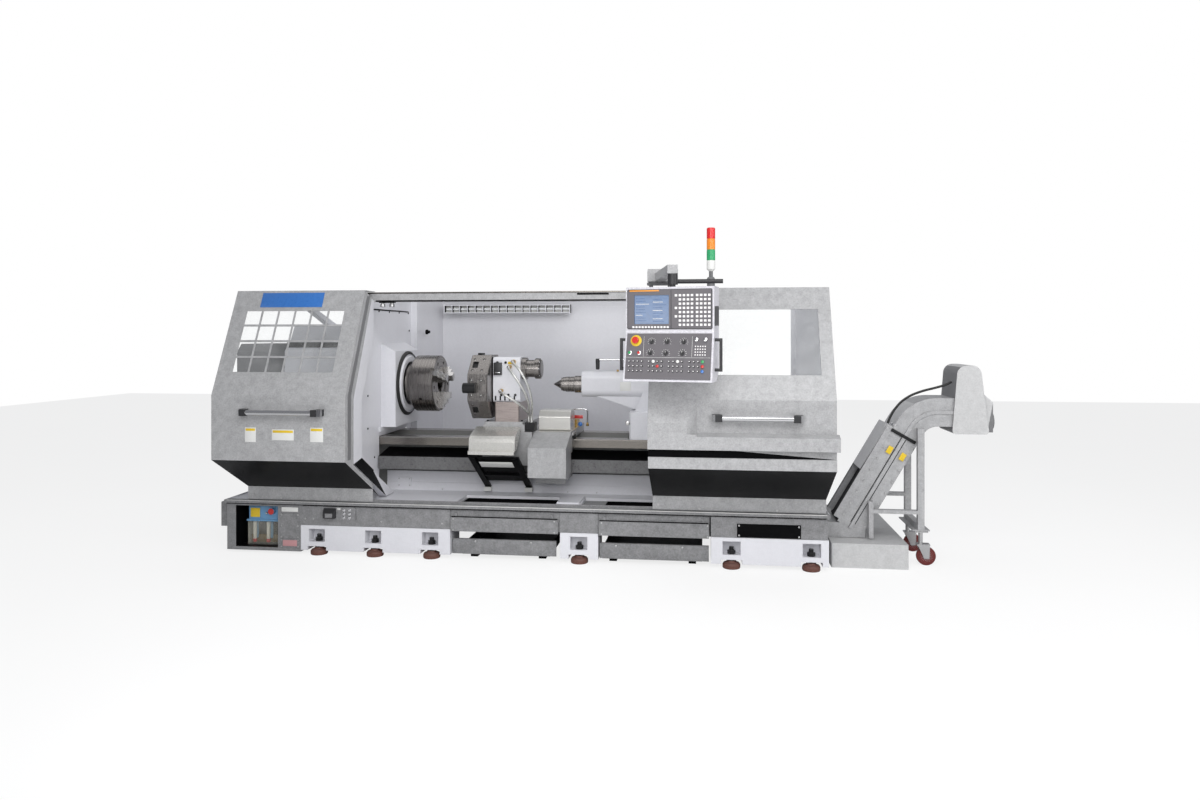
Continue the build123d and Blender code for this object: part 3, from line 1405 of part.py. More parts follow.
def cabinet_door():
    """Cabinet door with its folded edge, latch handle and hinge barrels."""
    y0 = back_wall_y + back_wall_sheet + cabinet_depth + door_gap
    x0, x1 = cabinet_span
    low, high = cabinet_levels
    y1 = y0 + cabinet_door_thickness
    door = block(cabinet_span, (y0, y1), cabinet_levels)
    door -= block((x0 + 4, x1 - 4), (y0 - 1, y1 - 4), (low + 4, high - 4))
    latch_x = (x1 - 3 * latch_width, x1 - 2 * latch_width)
    middle = (low + high) / 2
    door += block(latch_x, (y1, y1 + latch_depth), (middle - latch_height / 2, middle + latch_height / 2))
    (hinge_x, hinge_y), ends = cabinet_hinge()
    for level, way in ends:
        door += rod_z(hinge_x, hinge_y, sorted((level - way * hinge_length, level)), hinge_radius)
        hole = sorted((level - way * (hinge_pin_length + 1), level + way))
        door -= rod_z(hinge_x, hinge_y, hole, hinge_pin_radius + running_clearance)
    return door


def conveyor_line():
    """Upper line of the conveyor's side, from its foot round the bend to the hood."""
    angle = math.radians(conveyor_angle)
    radius = (conveyor_flat_top - conveyor_bend[1]) / (1 - math.cos(angle))
    centre = (conveyor_bend[0] + radius * math.sin(angle), conveyor_bend[1] - radius * math.cos(angle))
    return radius, centre


def conveyor_face(top_inset, bottom_inset):
    """Face of the conveyor's side between two insets from its upper and lower lines."""
    angle = math.radians(conveyor_angle)
    radius, centre = conveyor_line()
    outer = radius - top_inset
    inner = radius - conveyor_thickness + bottom_inset

    def at(r):
        start = Vector(centre[0] - r * math.sin(angle), centre[1] + r * math.cos(angle))
        end = Vector(centre[0], centre[1] + r)
        middle = Vector(centre[0] - r * math.sin(angle / 2), centre[1] + r * math.cos(angle / 2))
        return start, middle, end

    run = math.dist(conveyor_bend, conveyor_foot)
    back = Vector(-math.cos(angle), -math.sin(angle)) * run
    a, m, b = at(outer)
    c, n, d = at(inner)
    end_x = conveyor_end_x
    edges = [Line(a + back, a), ThreePointArc(a, m, b), Line(b, (end_x, b.Y)),
             Line((end_x, b.Y), (end_x, d.Y)), Line((end_x, d.Y), d), ThreePointArc(d, n, c),
             Line(c, c + back), Line(c + back, a + back)]
    return make_face(Curve() + edges)


def conveyor_extrude(face, y_span):
    """Extrude an X-Z face of the conveyor along Y."""
    plane = Plane(origin=(0, y_span[1], 0), x_dir=(1, 0, 0), z_dir=(0, -1, 0))
    return extrude(plane * face, y_span[1] - y_span[0])


def conveyor_body():
    """Conveyor trough: two sides, floor, lid and the raised rib that follows the chain."""
    y0, y1 = conveyor_y
    body = conveyor_extrude(conveyor_face(0, 0), (y0, y1))
    rib = conveyor_face(conveyor_thickness * 0.44, conveyor_thickness * 0.44)
    body += conveyor_extrude(rib, (y0 - 9, y0))
    body += conveyor_extrude(rib, (y1, y1 + 9))
    angle = math.radians(conveyor_angle)
    ux, uz = math.cos(angle), math.sin(angle)
    nx, nz = -math.sin(angle), math.cos(angle)
    fx, fz = conveyor_foot
    run = math.dist(conveyor_bend, conveyor_foot)

    def lying(start, end, height):
        corners = ((start, -1), (start, height), (end, height), (end, -1))
        return [(fx + ux * s + nx * h, fz + uz * s + nz * h) for s, h in corners]

    for y_span in ((y0 - 2, y0 + 30), (y1 - 30, y1 + 2)):
        body += prism_y(lying(20, run - 60, 40), y_span)
    body += prism_y(lying(380, run - 56, 44), (y0 + 20, y1 - 20))
    end = fx + nx * -conveyor_thickness
    foot_left = base_length + tray_overhang + 6
    body += block((foot_left, end + 20), (y0, y1), (sump_height + 2, 262))
    return body


def conveyor_hood():
    """Discharge hood with rounded top, open underneath, and the gear motor behind it."""
    y0, y1 = conveyor_y[0] - 16, conveyor_y[1] + 16
    radius = 62.0
    outline = Polyline((hood_left, hood_bottom), (hood_top_span[0], hood_top), (hood_top_span[1], hood_top),
                       (hood_right, hood_bottom), close=True)
    face = make_face(outline)
    face = fillet(face.vertices().group_by(Axis.Y)[-1], radius)
    face = fillet(face.vertices().group_by(Axis.Y)[0], 24)
    w = hood_wall
    hood = conveyor_extrude(face, (y0, y1)) + conveyor_motor()
    hood -= conveyor_extrude(offset(face, -w), (y0 + w, y1 - w))
    hood -= block((hood_left + 40, hood_right - 40), (y0 + 20, y1 - 20), (hood_bottom - 5, hood_bottom + 20))
    flat = (conveyor_flat_top - conveyor_thickness, conveyor_flat_top)
    return hood - block((hood_left - 10, conveyor_end_x), (conveyor_y[0] - 9.5, conveyor_y[1] + 9.5), flat)


def conveyor_motor():
    """Gear motor on the hood's right side."""
    lean = (hood_top_span[1] - hood_right) / (hood_top - hood_bottom)
    low, high = hood_bottom + 12, 1140.0
    sides = [(hood_right + lean * (z - hood_bottom) - 2, z) for z in (low, high)]
    box = prism_y([sides[0], (motor_right - 12, low), (motor_right - 12, high - 60), sides[1]], (300, 430))
    motor = rod_x((motor_right - 60, motor_right), 365, low + 70, 58)
    return box + motor


def conveyor_stand():
    """Welded stand: two legs, cross bars, foot channel and the stays to the body."""
    y0, y1 = conveyor_y
    x0, x1 = leg_x
    w = x1 - x0
    top = conveyor_line()[1][1] + (conveyor_line()[0] - conveyor_thickness) + 2
    front = (y0 - w - 9.5, y0 - 9.5)
    rear = (y1 + 9.5, y1 + w + 9.5)
    stand = block((x0, x1), front, (leg_bottom, top - 12)) + block((x0, x1), rear, (leg_bottom, top - 12))
    stand += block((x0, x1), (front[0], rear[1]), (leg_bottom, leg_bottom + 34))
    for z, span in ((338.0, front), (392.0, rear)):
        stand += block((4420, x0), span, (z, z + 24))
    for span in (front, rear):
        stand += block((4420, 4450), span, (170, 416))
    stand += block((x0 - 34, x1 + 34), (front[0], rear[1]), (leg_bottom - 8, leg_bottom))
    return stand


def caster_fork(y):
    """Caster plate and fork."""
    top = leg_bottom - 8.3
    x = (leg_x[0] + leg_x[1]) / 2
    plate = block((x - 42, x + 42), (y - 30, y + 30), (top - 8, top))
    neck = rod_z(x, y, (2 * caster_radius + 16, top - 8), 14)
    over = 2 * caster_radius
    crown = block((x - 26, caster_x + 22), (y - 27, y + 27), (over + 8, over + 18))
    cheeks = None
    for side in (-1, 1):
        outline = [(x - 22, over + 10), (caster_x + 20, over + 10), (caster_x + 16, caster_radius - 14),
                   (caster_x - 16, caster_radius - 14)]
        cheek = prism_y(outline, sorted((y + side * 22, y + side * 27)))
        cheeks = cheek if cheeks is None else cheeks + cheek
    axle = rod_y(caster_x, (y - 27, y + 27), caster_radius, 8)
    return plate + neck + crown + cheeks + axle


def caster_wheel(y):
    """Red caster wheel, bored for its axle."""
    r = caster_radius
    half = 17.0
    plane = Plane(origin=(0, 0, 0), x_dir=(0, 1, 0), z_dir=(1, 0, 0))
    bore = 8 + running_clearance
    profile = [(-half, bore), (-half, r - 16), (-half + 4, r - 14), (-half + 4, r - 4), (-half + 8, r),
               (half - 8, r), (half - 4, r - 4), (half - 4, r - 14), (half, r - 16), (half, bore)]
    wheel = revolve(plane * make_face(Polyline(*profile, close=True)), Axis.Y)
    return Pos(caster_x, y, r) * wheel


def conveyor_sump():
    """Low coolant sump under the conveyor's foot."""
    body = block(sump_span, sump_y, (0, sump_height))
    body = fillet(body.edges().filter_by(Axis.Z), 8)
    bin_x = (sump_span[0] + 30, sump_span[1] - 150)
    return body - block(bin_x, (sump_y[1] - 420, sump_y[1] - 40), (30, sump_height + 1))


def conveyor_cable():
    """Motor cable clipped along the top of the conveyor."""
    y = conveyor_y[0] + 40
    points = [(4560, y, 930), (4574, y, 968), (4604, y, 1024), (4648, y, 1078), (4712, y, 1122),
              (4790, y, 1152), (4870, y, 1172), (4936, y + 2, 1192), (4974, y + 4, 1213)]
    return tube_along(points, 8)


def caster_rows():
    """Y of the front and rear casters."""
    width = leg_x[1] - leg_x[0]
    return (conveyor_y[0] - 9.5 - width / 2, conveyor_y[1] + 9.5 + width / 2)


def build_nodes():
    """Every piece by name, in the drawing frame."""
    front_caster, rear_caster = caster_rows()
    nodes = {
        "foot_blocks": foot_blocks(),
        "levelling_feet": Compound(children=[levelling_pads(), levelling_screws()]),
        "base_frame": Compound(children=[base_frame(), socket_panel()]),
        "left_cabinet": left_cabinet() + side_box(),
        "lubrication_pump": lubrication_pump(),
        "oil_reservoir": oil_reservoir(),
        "chip_tray": chip_tray(),
        "bed_casting": Compound(children=[bed_casting() + screw_cover(), screw_blocks()]),
        "ball_screw": ball_screw(),
        "headstock": Compound(children=[headstock(), belt_guard()]),
        "spindle": spindle(),
        "chuck_body": chuck_body(),
        "spindle_seal": spindle_seal(),
        "left_wall": left_wall(),
        "rear_walls": Compound(children=[back_wall(), right_end_wall()]),
        "top_beam": top_beam(),
        "work_lamp": work_lamp(),
        "coolant_tank_left": coolant_tank(tank_spans[0]),
        "coolant_tank_right": coolant_tank(tank_spans[1]),
        "left_door": left_door(),
        "left_window": door_pane(left_window_span),
        "left_handle": door_handle(left_handle_span),
        "right_door": right_door(),
        "right_window": door_pane(right_window_span),
        "right_handle": door_handle(right_handle_span),
        "carriage": carriage() + apron_cover(),
        "nut_arm": nut_arm(),
        "chip_guard": chip_guard(),
        "cross_slide": cross_slide(),
        "slide_cover": slide_cover(),
        "turret_housing": turret_housing(),
        "turret_disc": turret_disc(),
        "tool_holders": tool_holders(),
        "turret_hoses": turret_hoses(),
        "tailstock": tailstock(),
        "quill": quill(),
        "live_centre": live_centre(),
        "clamp_lever": clamp_lever(),
        "pendant_arm": pendant_arm(),
        "pendant_housing": pendant_housing(),
        "control_unit": Compound(children=[control_unit(), display()]),
        "operator_panel": operator_panel(),
        "emergency_stop": stop_button(),
        "green_button": push_button(green_place),
        "red_button": push_button(red_place),
        "signal_tower": Compound(children=[signal_post(), signal_lenses()]),
        "electrical_cabinet": electrical_cabinet(),
        "cabinet_door": cabinet_door(),
        "conveyor_sump": conveyor_sump(),
        "conveyor_body": conveyor_body(),
        "conveyor_hood": conveyor_hood(),
        "conveyor_cable": conveyor_cable(),
        "conveyor_stand": conveyor_stand(),
        "front_caster_fork": caster_fork(front_caster),
        "front_caster_wheel": caster_wheel(front_caster),
        "rear_caster_fork": caster_fork(rear_caster),
        "rear_caster_wheel": caster_wheel(rear_caster),
    }
    for index, turn in enumerate(jaw_turns()):
        nodes[f"chuck_jaw_{index + 1}"] = chuck_jaw(turn)
    return nodes


def main():
    """Build every piece, move the origin under the middle of the machine and write the STEP files."""
    nodes = build_nodes()
    boxes = [shape.bounding_box() for shape in nodes.values()]
    low = [min(getattr(box.min, axis) for box in boxes) for axis in "XYZ"]
    high = [max(getattr(box.max, axis) for box in boxes) for axis in "XYZ"]
    middle_x = (low[0] + high[0]) / 2
    middle_y = (low[1] + high[1]) / 2
    to_origin = Pos(-middle_x, -middle_y, -low[2])
    os.makedirs("parts", exist_ok=True)
    for name, shape in nodes.items():
        export_step(to_origin * Compound(shape.solids()), f"parts/{name}.step")
    print(len(nodes), "nodes, origin at", round(middle_x, 3), round(middle_y, 3), round(low[2], 3))
    print("size", [round(b - a, 1) for a, b in zip(low, high)])


if __name__ == "__main__":
    main()
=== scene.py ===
"""Studio scene of a flat-bed CNC turning lathe, dressed over its CAD frame."""

import logging
import math
import random
from dataclasses import dataclass
from enum import Enum
from typing import Callable, Optional, Sequence

import bmesh
import bpy
from mathutils import Matrix, Vector


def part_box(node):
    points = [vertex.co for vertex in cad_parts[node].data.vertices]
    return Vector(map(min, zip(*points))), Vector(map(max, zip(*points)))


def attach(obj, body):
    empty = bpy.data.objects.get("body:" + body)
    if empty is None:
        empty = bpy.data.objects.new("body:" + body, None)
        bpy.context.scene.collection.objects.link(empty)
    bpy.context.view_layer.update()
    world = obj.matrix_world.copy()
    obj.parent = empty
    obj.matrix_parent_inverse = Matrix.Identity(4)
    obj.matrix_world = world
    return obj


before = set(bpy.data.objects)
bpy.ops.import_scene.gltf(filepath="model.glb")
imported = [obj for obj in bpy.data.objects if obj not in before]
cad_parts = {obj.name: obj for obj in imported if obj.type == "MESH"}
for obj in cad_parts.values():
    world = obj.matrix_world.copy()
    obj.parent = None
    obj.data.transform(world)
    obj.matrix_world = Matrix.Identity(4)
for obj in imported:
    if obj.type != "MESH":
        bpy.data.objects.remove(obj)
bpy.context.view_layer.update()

LOG = logging.getLogger("lathe")
MM = 0.001
# Drawing place of the bed's left end
BED_START = 230.0
# Share of a face's normal along an axis above which it counts as square to it, and as leaning
SQUARE, LEANING = 0.9, 0.2
STRAIGHT = Matrix()
FLOAT, VECTOR, COLOR = "NodeSocketFloat", "NodeSocketVector", "NodeSocketColor"
WHITE = (1.0, 1.0, 1.0, 1.0)
Triple = tuple[float, float, float]
Span = tuple[float, float]
Place = tuple[Vector, Vector]


class Pattern(Enum):
    """Fine surface pattern of a finish."""

    SPECKLE = "speckle"
    BRUSHED_X = "brushed along X"
    BRUSHED_Y = "brushed along Y"
    TURNED_X = "turned about X"
    BRAID = "braided"
    CAST = "cast"
    RIBBED_Z = "ribbed along Z"


class Way(Enum):
    """The direction a flat detail faces."""

    FRONT = (0.0, -1.0, 0.0)
    RIGHT = (1.0, 0.0, 0.0)
    UP = (0.0, 0.0, 1.0)
    DOWN = (0.0, 0.0, -1.0)

    @property
    def vector(self) -> Vector:
        """Returns the unit vector of this direction."""
        return Vector(self.value)


class Datum:
    """Turns drawing coordinates in millimetres into scene coordinates in metres."""

    def __init__(self) -> None:
        bed_low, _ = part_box("bed_casting")
        foot_low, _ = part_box("foot_blocks")
        self.x = bed_low.x - BED_START * MM
        self.y = foot_low.y

    def at(self, x: float, y: float, z: float) -> Vector:
        """Returns the scene point of a drawing point.

        Args:
            x: Distance along the bed from the base's left end.
            y: Distance behind the base's front.
            z: Height above the floor.
        """
        return Vector((self.x + x * MM, self.y + y * MM, z * MM))

    def back(self, point: Vector) -> Vector:
        """Returns the drawing point of a scene point."""
        return Vector(((point.x - self.x) / MM, (point.y - self.y) / MM, point.z / MM))

    def corners(self, name: str) -> tuple[Vector, Vector]:
        """Returns the lowest and highest drawing point of a CAD piece."""
        low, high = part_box(name)
        return self.back(low), self.back(high)


DATUM = Datum()


class Tree:
    """Adds and links the nodes of one node tree."""

    def __init__(self, tree: bpy.types.NodeTree) -> None:
        self.tree = tree

    @classmethod
    def cleared(cls, owner: bpy.types.ID) -> "Tree":
        """Returns the emptied node tree of a material or a world."""
        owner.use_nodes = True
        owner.node_tree.nodes.clear()
        return cls(owner.node_tree)

    def add(self, kind: str, feeds: Optional[dict] = None, **settings) -> bpy.types.Node:
        """Adds a node.

        Args:
            kind: Blender's name of the node type.
            feeds: Values or sockets for the inputs, by input name or index.
            settings: Properties of the node.

        Returns:
            The node.
        """
        node = self.tree.nodes.new(kind)
        for name, value in settings.items():
            setattr(node, name, value)
        for name, value in (feeds or {}).items():
            self.feed(node.inputs[name], value)
        return node

    def feed(self, socket: bpy.types.NodeSocket, value) -> None:
        """Links or sets one input."""
        if isinstance(value, bpy.types.NodeSocket):
            self.tree.links.new(value, socket)
        else:
            socket.default_value = value

    def math(self, operation: str, a, b=0.0, c=None) -> bpy.types.NodeSocket:
        """Returns the output of a math node."""
        feeds = {0: a, 1: b}
        if c is not None:
            feeds[2] = c
        return self.add("ShaderNodeMath", feeds, operation=operation).outputs[0]

    def vector(self, operation: str, feeds: dict) -> bpy.types.NodeOutputs:
        """Returns the outputs of a vector math node."""
        return self.add("ShaderNodeVectorMath", feeds, operation=operation).outputs

    def scaled(self, vector, factor) -> bpy.types.NodeSocket:
        """Returns a vector or colour times a factor."""
        return self.vector("SCALE", {0: vector, 3: factor})[0]

    def parts(self, vector) -> bpy.types.NodeOutputs:
        """Returns a vector's X, Y and Z."""
        return self.add("ShaderNodeSeparateXYZ", {0: vector}).outputs

    def joined(self, parts: dict) -> bpy.types.NodeSocket:
        """Returns the vector of given parts, by index."""
        return self.add("ShaderNodeCombineXYZ", parts).outputs[0]

    def stretched(self, vector, scale: Triple) -> bpy.types.NodeSocket:
        """Returns a place with each direction scaled by its own factor."""
        return self.add("ShaderNodeMapping", {"Vector": vector, "Scale": scale}).outputs[0]

    def mix(self, share, a, b) -> bpy.types.NodeSocket:
        """Returns the colour that lies between two colours."""
        return self.add("ShaderNodeMix", {0: share, 6: a, 7: b}, data_type="RGBA").outputs[2]

    def remap(self, value, low: float, high: float, to_low: float = 0.0, to_high: float = 1.0):
        """Returns a value moved from one range to another and clamped."""
        feeds = {0: value, 1: low, 2: high, 3: to_low, 4: to_high}
        return self.add("ShaderNodeMapRange", feeds).outputs[0]

    def noise(self, vector, scale: float, detail: float = 4.0, rough: float = 0.6):
        """Returns the factor of a noise texture."""
        feeds = {"Vector": vector, "Scale": scale, "Detail": detail, "Roughness": rough}
        return self.add("ShaderNodeTexNoise", feeds).outputs[0]

    def place(self) -> bpy.types.NodeSocket:
        """Returns the object's own coordinates."""
        return self.add("ShaderNodeTexCoord").outputs["Object"]

    def blend(self, share, first: bpy.types.Node, second: bpy.types.Node,
              output: str = "ShaderNodeOutputMaterial") -> None:
        """Sends a mix of two shaders to the output."""
        mixed = self.add("ShaderNodeMixShader", {0: share, 1: first.outputs[0], 2: second.outputs[0]})
        self.add(output, {"Surface": mixed.outputs[0]})


def shader_group(name: str, inputs: dict[str, tuple], outputs: dict[str, str]):
    """Makes a shader node group with named sockets.

    Args:
        name: Name of the group.
        inputs: Socket type and default value of each input.
        outputs: Socket type of each output.

    Returns:
        The group, a Tree on it, the outputs of its input node and the inputs of its output node.
    """
    group = bpy.data.node_groups.new(name, "ShaderNodeTree")
    for socket, (kind, default) in inputs.items():
        item = group.interface.new_socket(socket, in_out="INPUT", socket_type=kind)
        if default is not None:
            item.default_value = default
    for socket, kind in outputs.items():
        group.interface.new_socket(socket, in_out="OUTPUT", socket_type=kind)
    tree = Tree(group)
    return group, tree, tree.add("NodeGroupInput").outputs, tree.add("NodeGroupOutput").inputs


def edge_wear_group() -> bpy.types.NodeTree:
    """Mask of rubbed edges, broken up by noise."""
    edge_dots, patch_values, patch_scale = (0.995, 0.86), (0.48, 0.66), 38.0
    inputs = {"Vector": (VECTOR, None), "Amount": (FLOAT, 0.5), "Width": (FLOAT, 0.003)}
    group, tree, given, put = shader_group("Edge wear", inputs, {"Mask": FLOAT})
    bevel = tree.add("ShaderNodeBevel", {"Radius": given["Width"]}, samples=3)
    face = tree.add("ShaderNodeNewGeometry")
    dot = tree.vector("DOT_PRODUCT", {0: bevel.outputs[0], 1: face.outputs["Normal"]})["Value"]
    patches = tree.remap(tree.noise(given["Vector"], patch_scale, 6.0), *patch_values)
    worn = tree.math("MULTIPLY", tree.remap(dot, *edge_dots), patches)
    tree.feed(put["Mask"], tree.math("MULTIPLY", worn, given["Amount"]))
    return group


def dust_group() -> bpy.types.NodeTree:
    """Mask of dust that settles on faces that look up."""
    up_values, patch_values, patch_scale = (0.35, 1.0), (0.3, 0.75), 7.0
    inputs = {"Vector": (VECTOR, None), "Amount": (FLOAT, 0.3)}
    group, tree, given, put = shader_group("Settled dust", inputs, {"Mask": FLOAT})
    up = tree.parts(tree.add("ShaderNodeNewGeometry").outputs["Normal"])[2]
    patches = tree.remap(tree.noise(given["Vector"], patch_scale, 7.0), *patch_values)
    dust = tree.math("MULTIPLY", tree.remap(up, *up_values), patches)
    tree.feed(put["Mask"], tree.math("MULTIPLY", dust, given["Amount"]))
    return group


def drift_group() -> bpy.types.NodeTree:
    """Slow change of tone over a large panel, with faint runs and smears."""
    slow_scale, run_scale, run_stretch, slow_share = 1.3, 3.0, (3.0, 3.0, 0.7), 0.6
    inputs = {"Color": (COLOR, (0.5, 0.5, 0.5, 1)), "Vector": (VECTOR, None), "Amount": (FLOAT, 0.1)}
    group, tree, given, put = shader_group("Tonal drift", inputs, {"Color": COLOR})
    slow = tree.noise(given["Vector"], slow_scale, 3.0)
    runs = tree.noise(tree.stretched(given["Vector"], run_stretch), run_scale, 6.0)
    both = tree.math("ADD", tree.math("MULTIPLY", slow, slow_share),
                     tree.math("MULTIPLY", runs, 1.0 - slow_share))
    swing = tree.math("MULTIPLY", tree.math("SUBTRACT", both, 0.5), given["Amount"])
    tree.feed(put["Color"], tree.scaled(given["Color"], tree.math("ADD", swing, 1.0)))
    return group


WEAR, DUST, DRIFT = edge_wear_group(), dust_group(), drift_group()
DUST_COLOR = (0.45, 0.44, 0.42, 1.0)
DUST_ROUGHNESS = 0.3
ROUGH_SWING = (-0.07, 0.1)
LEAST_ROUGHNESS = 0.03
BUMP_STRENGTH = 0.6
COAT_ROUGHNESS = 0.12
WEAR_WIDTH = 1.6
FINE_SHARE, COARSE_SCALE = 0.55, 0.22
GRAIN_ALONG = 0.02
PANE_IOR = 1.45
SPINDLE_AXIS = (680.0, 1157.0)


@dataclass(frozen=True)
class Finish:
    """A painted, metal or plastic finish.

    Attributes:
        name: Name of the material.
        color: Linear base colour.
        rough: Middle roughness.
        metal: Metallic share.
        pattern: Fine pattern of the surface.
        grain: Size of the fine pattern in metres.
        contrast: Strength of the fine pattern in the colour.
        relief: Height of the fine pattern in metres.
        under: Colour that shows where edges are rubbed.
        wear: Share of rubbed edges.
        dust: Share of settled dust.
        drift: Change of tone over large panels.
        coat: Clear coat.
        round_edge: Radius of the soft edge in metres.
        gloss: Share of light that the surface mirrors.
    """

    name: str
    color: Triple
    rough: float = 0.45
    metal: float = 0.0
    pattern: Pattern = Pattern.SPECKLE
    grain: float = 0.004
    contrast: float = 0.15
    relief: float = 0.0002
    under: Triple = (0.42, 0.42, 0.43)
    wear: float = 0.35
    dust: float = 0.12
    drift: float = 0.16
    coat: float = 0.0
    round_edge: float = 0.0018
    gloss: float = 0.5

    def pattern_value(self, tree: Tree, place) -> bpy.types.NodeSocket:
        """Returns the fine pattern's value between 0 and 1."""
        scale = 1.0 / self.grain
        if self.pattern is Pattern.SPECKLE:
            fine = tree.math("MULTIPLY", tree.noise(place, scale, 3.0, 0.7), FINE_SHARE)
            coarse = tree.noise(place, scale * COARSE_SCALE, 4.0, 0.65)
            coarse = tree.math("MULTIPLY", coarse, 1.0 - FINE_SHARE)
            return tree.remap(tree.math("ADD", fine, coarse), 0.32, 0.68)
        if self.pattern is Pattern.CAST:
            cells = tree.add("ShaderNodeTexVoronoi", {"Vector": place, "Scale": scale}, feature="SMOOTH_F1")
            bumps = tree.math("MULTIPLY", cells.outputs[0], 0.5)
            return tree.math("MULTIPLY_ADD", tree.noise(place, scale * 1.7, 5.0), 0.6, bumps)
        if self.pattern in (Pattern.BRUSHED_X, Pattern.BRUSHED_Y):
            along_x = self.pattern is Pattern.BRUSHED_X
            along = (GRAIN_ALONG, 1.0, 1.0) if along_x else (1.0, GRAIN_ALONG, 1.0)
            return tree.remap(tree.noise(tree.stretched(place, along), scale, 5.0, 0.7), 0.3, 0.7)
        if self.pattern is Pattern.TURNED_X:
            axis = tuple(DATUM.at(0.0, *SPINDLE_AXIS))
            parts = tree.parts(tree.vector("SUBTRACT", {0: place, 1: axis})[0])
            flat = tree.joined({1: parts[1], 2: parts[2]})
            ring = tree.joined({0: tree.vector("LENGTH", {0: flat})["Value"], 1: parts[0]})
            return tree.remap(tree.noise(ring, scale, 3.0, 0.8), 0.3, 0.7)
        if self.pattern is Pattern.RIBBED_Z:
            wave = tree.math("SINE", tree.math("MULTIPLY", tree.parts(place)[2], scale))
            return tree.math("MULTIPLY_ADD", wave, 0.5, 0.5)
        strands = []
        for vector in (place, tree.stretched(place, (-1.0, 1.0, 1.0))):
            feeds = {"Vector": vector, "Scale": scale * 0.1, "Distortion": 1.5}
            strands.append(tree.add("ShaderNodeTexWave", feeds, bands_direction="DIAGONAL").outputs[1])
        return tree.math("MAXIMUM", *strands)

    def base_color(self, tree: Tree, place):
        """Returns the colour before the fine pattern, as a value or a socket."""
        return (*self.color, 1.0)

    def build(self) -> bpy.types.Material:
        """Makes the material."""
        made = bpy.data.materials.new(self.name)
        tree = Tree.cleared(made)
        place = tree.place()
        feeds = {"Color": self.base_color(tree, place), "Vector": place, "Amount": self.drift}
        drift = tree.add("ShaderNodeGroup", feeds, node_tree=DRIFT).outputs["Color"]
        fine = self.pattern_value(tree, place)
        tinted = tree.scaled(drift, tree.remap(fine, 0.0, 1.0, 1.0 - self.contrast, 1.0 + self.contrast))
        feeds = {"Vector": place, "Amount": self.wear, "Width": self.round_edge * WEAR_WIDTH}
        wear = tree.add("ShaderNodeGroup", feeds, node_tree=WEAR).outputs["Mask"]
        feeds = {"Vector": place, "Amount": self.dust}
        dust = tree.add("ShaderNodeGroup", feeds, node_tree=DUST).outputs["Mask"]
        color = tree.mix(dust, tree.mix(wear, tinted, (*self.under, 1.0)), DUST_COLOR)
        low, high = (self.rough + swing for swing in ROUGH_SWING)
        rough = tree.remap(fine, 0.0, 1.0, max(low, LEAST_ROUGHNESS), min(high, 1.0))
        rough = tree.math("ADD", rough, tree.math("MULTIPLY", dust, DUST_ROUGHNESS))
        soft = tree.add("ShaderNodeBevel", {"Radius": self.round_edge}, samples=4).outputs[0]
        feeds = {"Height": fine, "Strength": BUMP_STRENGTH, "Distance": self.relief, "Normal": soft}
        bump = tree.add("ShaderNodeBump", feeds).outputs[0]
        feeds = {"Base Color": color, "Roughness": rough, "Metallic": self.metal, "Coat Weight": self.coat,
                 "Coat Roughness": COAT_ROUGHNESS, "Specular IOR Level": self.gloss, "Normal": bump}
        shader = tree.add("ShaderNodeBsdfPrincipled", feeds)
        self.extra(tree, shader, place, fine)
        tree.add("ShaderNodeOutputMaterial", {"Surface": shader.outputs[0]})
        return made

    def extra(self, tree: Tree, shader: bpy.types.Node, place, fine) -> None:
        """Further inputs of the shader, for finishes that need them."""


@dataclass(frozen=True)
class BandedFinish(Finish):
    """A finish whose colour changes at given heights, and whose lenses glow a little.

    Attributes:
        bands: Height in millimetres at which each further colour starts, with that colour.
        glow: Strength of the light that it gives.
    """

    bands: tuple[tuple[float, Triple], ...] = ()
    glow: float = 0.0

    def base_color(self, tree: Tree, place):
        """Returns the colour of the band at each height."""
        height = tree.parts(place)[2]
        color = (*self.color, 1.0)
        for start, tint in self.bands:
            color = tree.mix(tree.math("GREATER_THAN", height, start * MM), color, (*tint, 1.0))
        return color

    def extra(self, tree: Tree, shader: bpy.types.Node, place, fine) -> None:
        """Adds the emission in the bands' colours."""
        tree.feed(shader.inputs["Emission Color"], self.base_color(tree, place))
        tree.feed(shader.inputs["Emission Strength"], self.glow)


@dataclass(frozen=True)
class GlowFinish(Finish):
    """A finish that gives light, such as a lamp tube or a display.

    Attributes:
        glow: Strength of the light that it gives.
    """

    glow: float = 1.0

    def extra(self, tree: Tree, shader: bpy.types.Node, place, fine) -> None:
        """Adds the emission."""
        tree.feed(shader.inputs["Emission Color"], (*self.color, 1.0))
        strength = tree.remap(fine, 0.0, 1.0, self.glow * 0.9, self.glow)
        tree.feed(shader.inputs["Emission Strength"], strength)


@dataclass(frozen=True)
class ClearFinish(Finish):
    """A clear pane or reservoir.

    Attributes:
        share: Share of light that passes straight through.
    """

    share: float = 0.85

    def build(self) -> bpy.types.Material:
        """Makes the material from a clear part and a glossy part."""
        made = bpy.data.materials.new(self.name)
        tree = Tree.cleared(made)
        smears = tree.remap(tree.noise(tree.place(), 9.0, 6.0), 0.4, 0.7)
        rough = tree.remap(smears, 0.0, 1.0, 0.02, self.rough)
        feeds = {"Base Color": (*self.color, 1.0), "Roughness": rough, "Specular IOR Level": 0.6}
        glossy = tree.add("ShaderNodeBsdfPrincipled", feeds)
        pale = tuple(0.5 + 0.5 * part for part in self.color)
        clear = tree.add("ShaderNodeBsdfTransparent", {"Color": (*pale, 1.0)})
        fresnel = tree.math("MULTIPLY", tree.add("ShaderNodeFresnel", {"IOR": PANE_IOR}).outputs[0], 0.5)
        veil = tree.math("MULTIPLY_ADD", smears, 0.05, 1.0 - self.share)
        tree.blend(tree.math("ADD", veil, fresnel), clear, glossy)
        return made


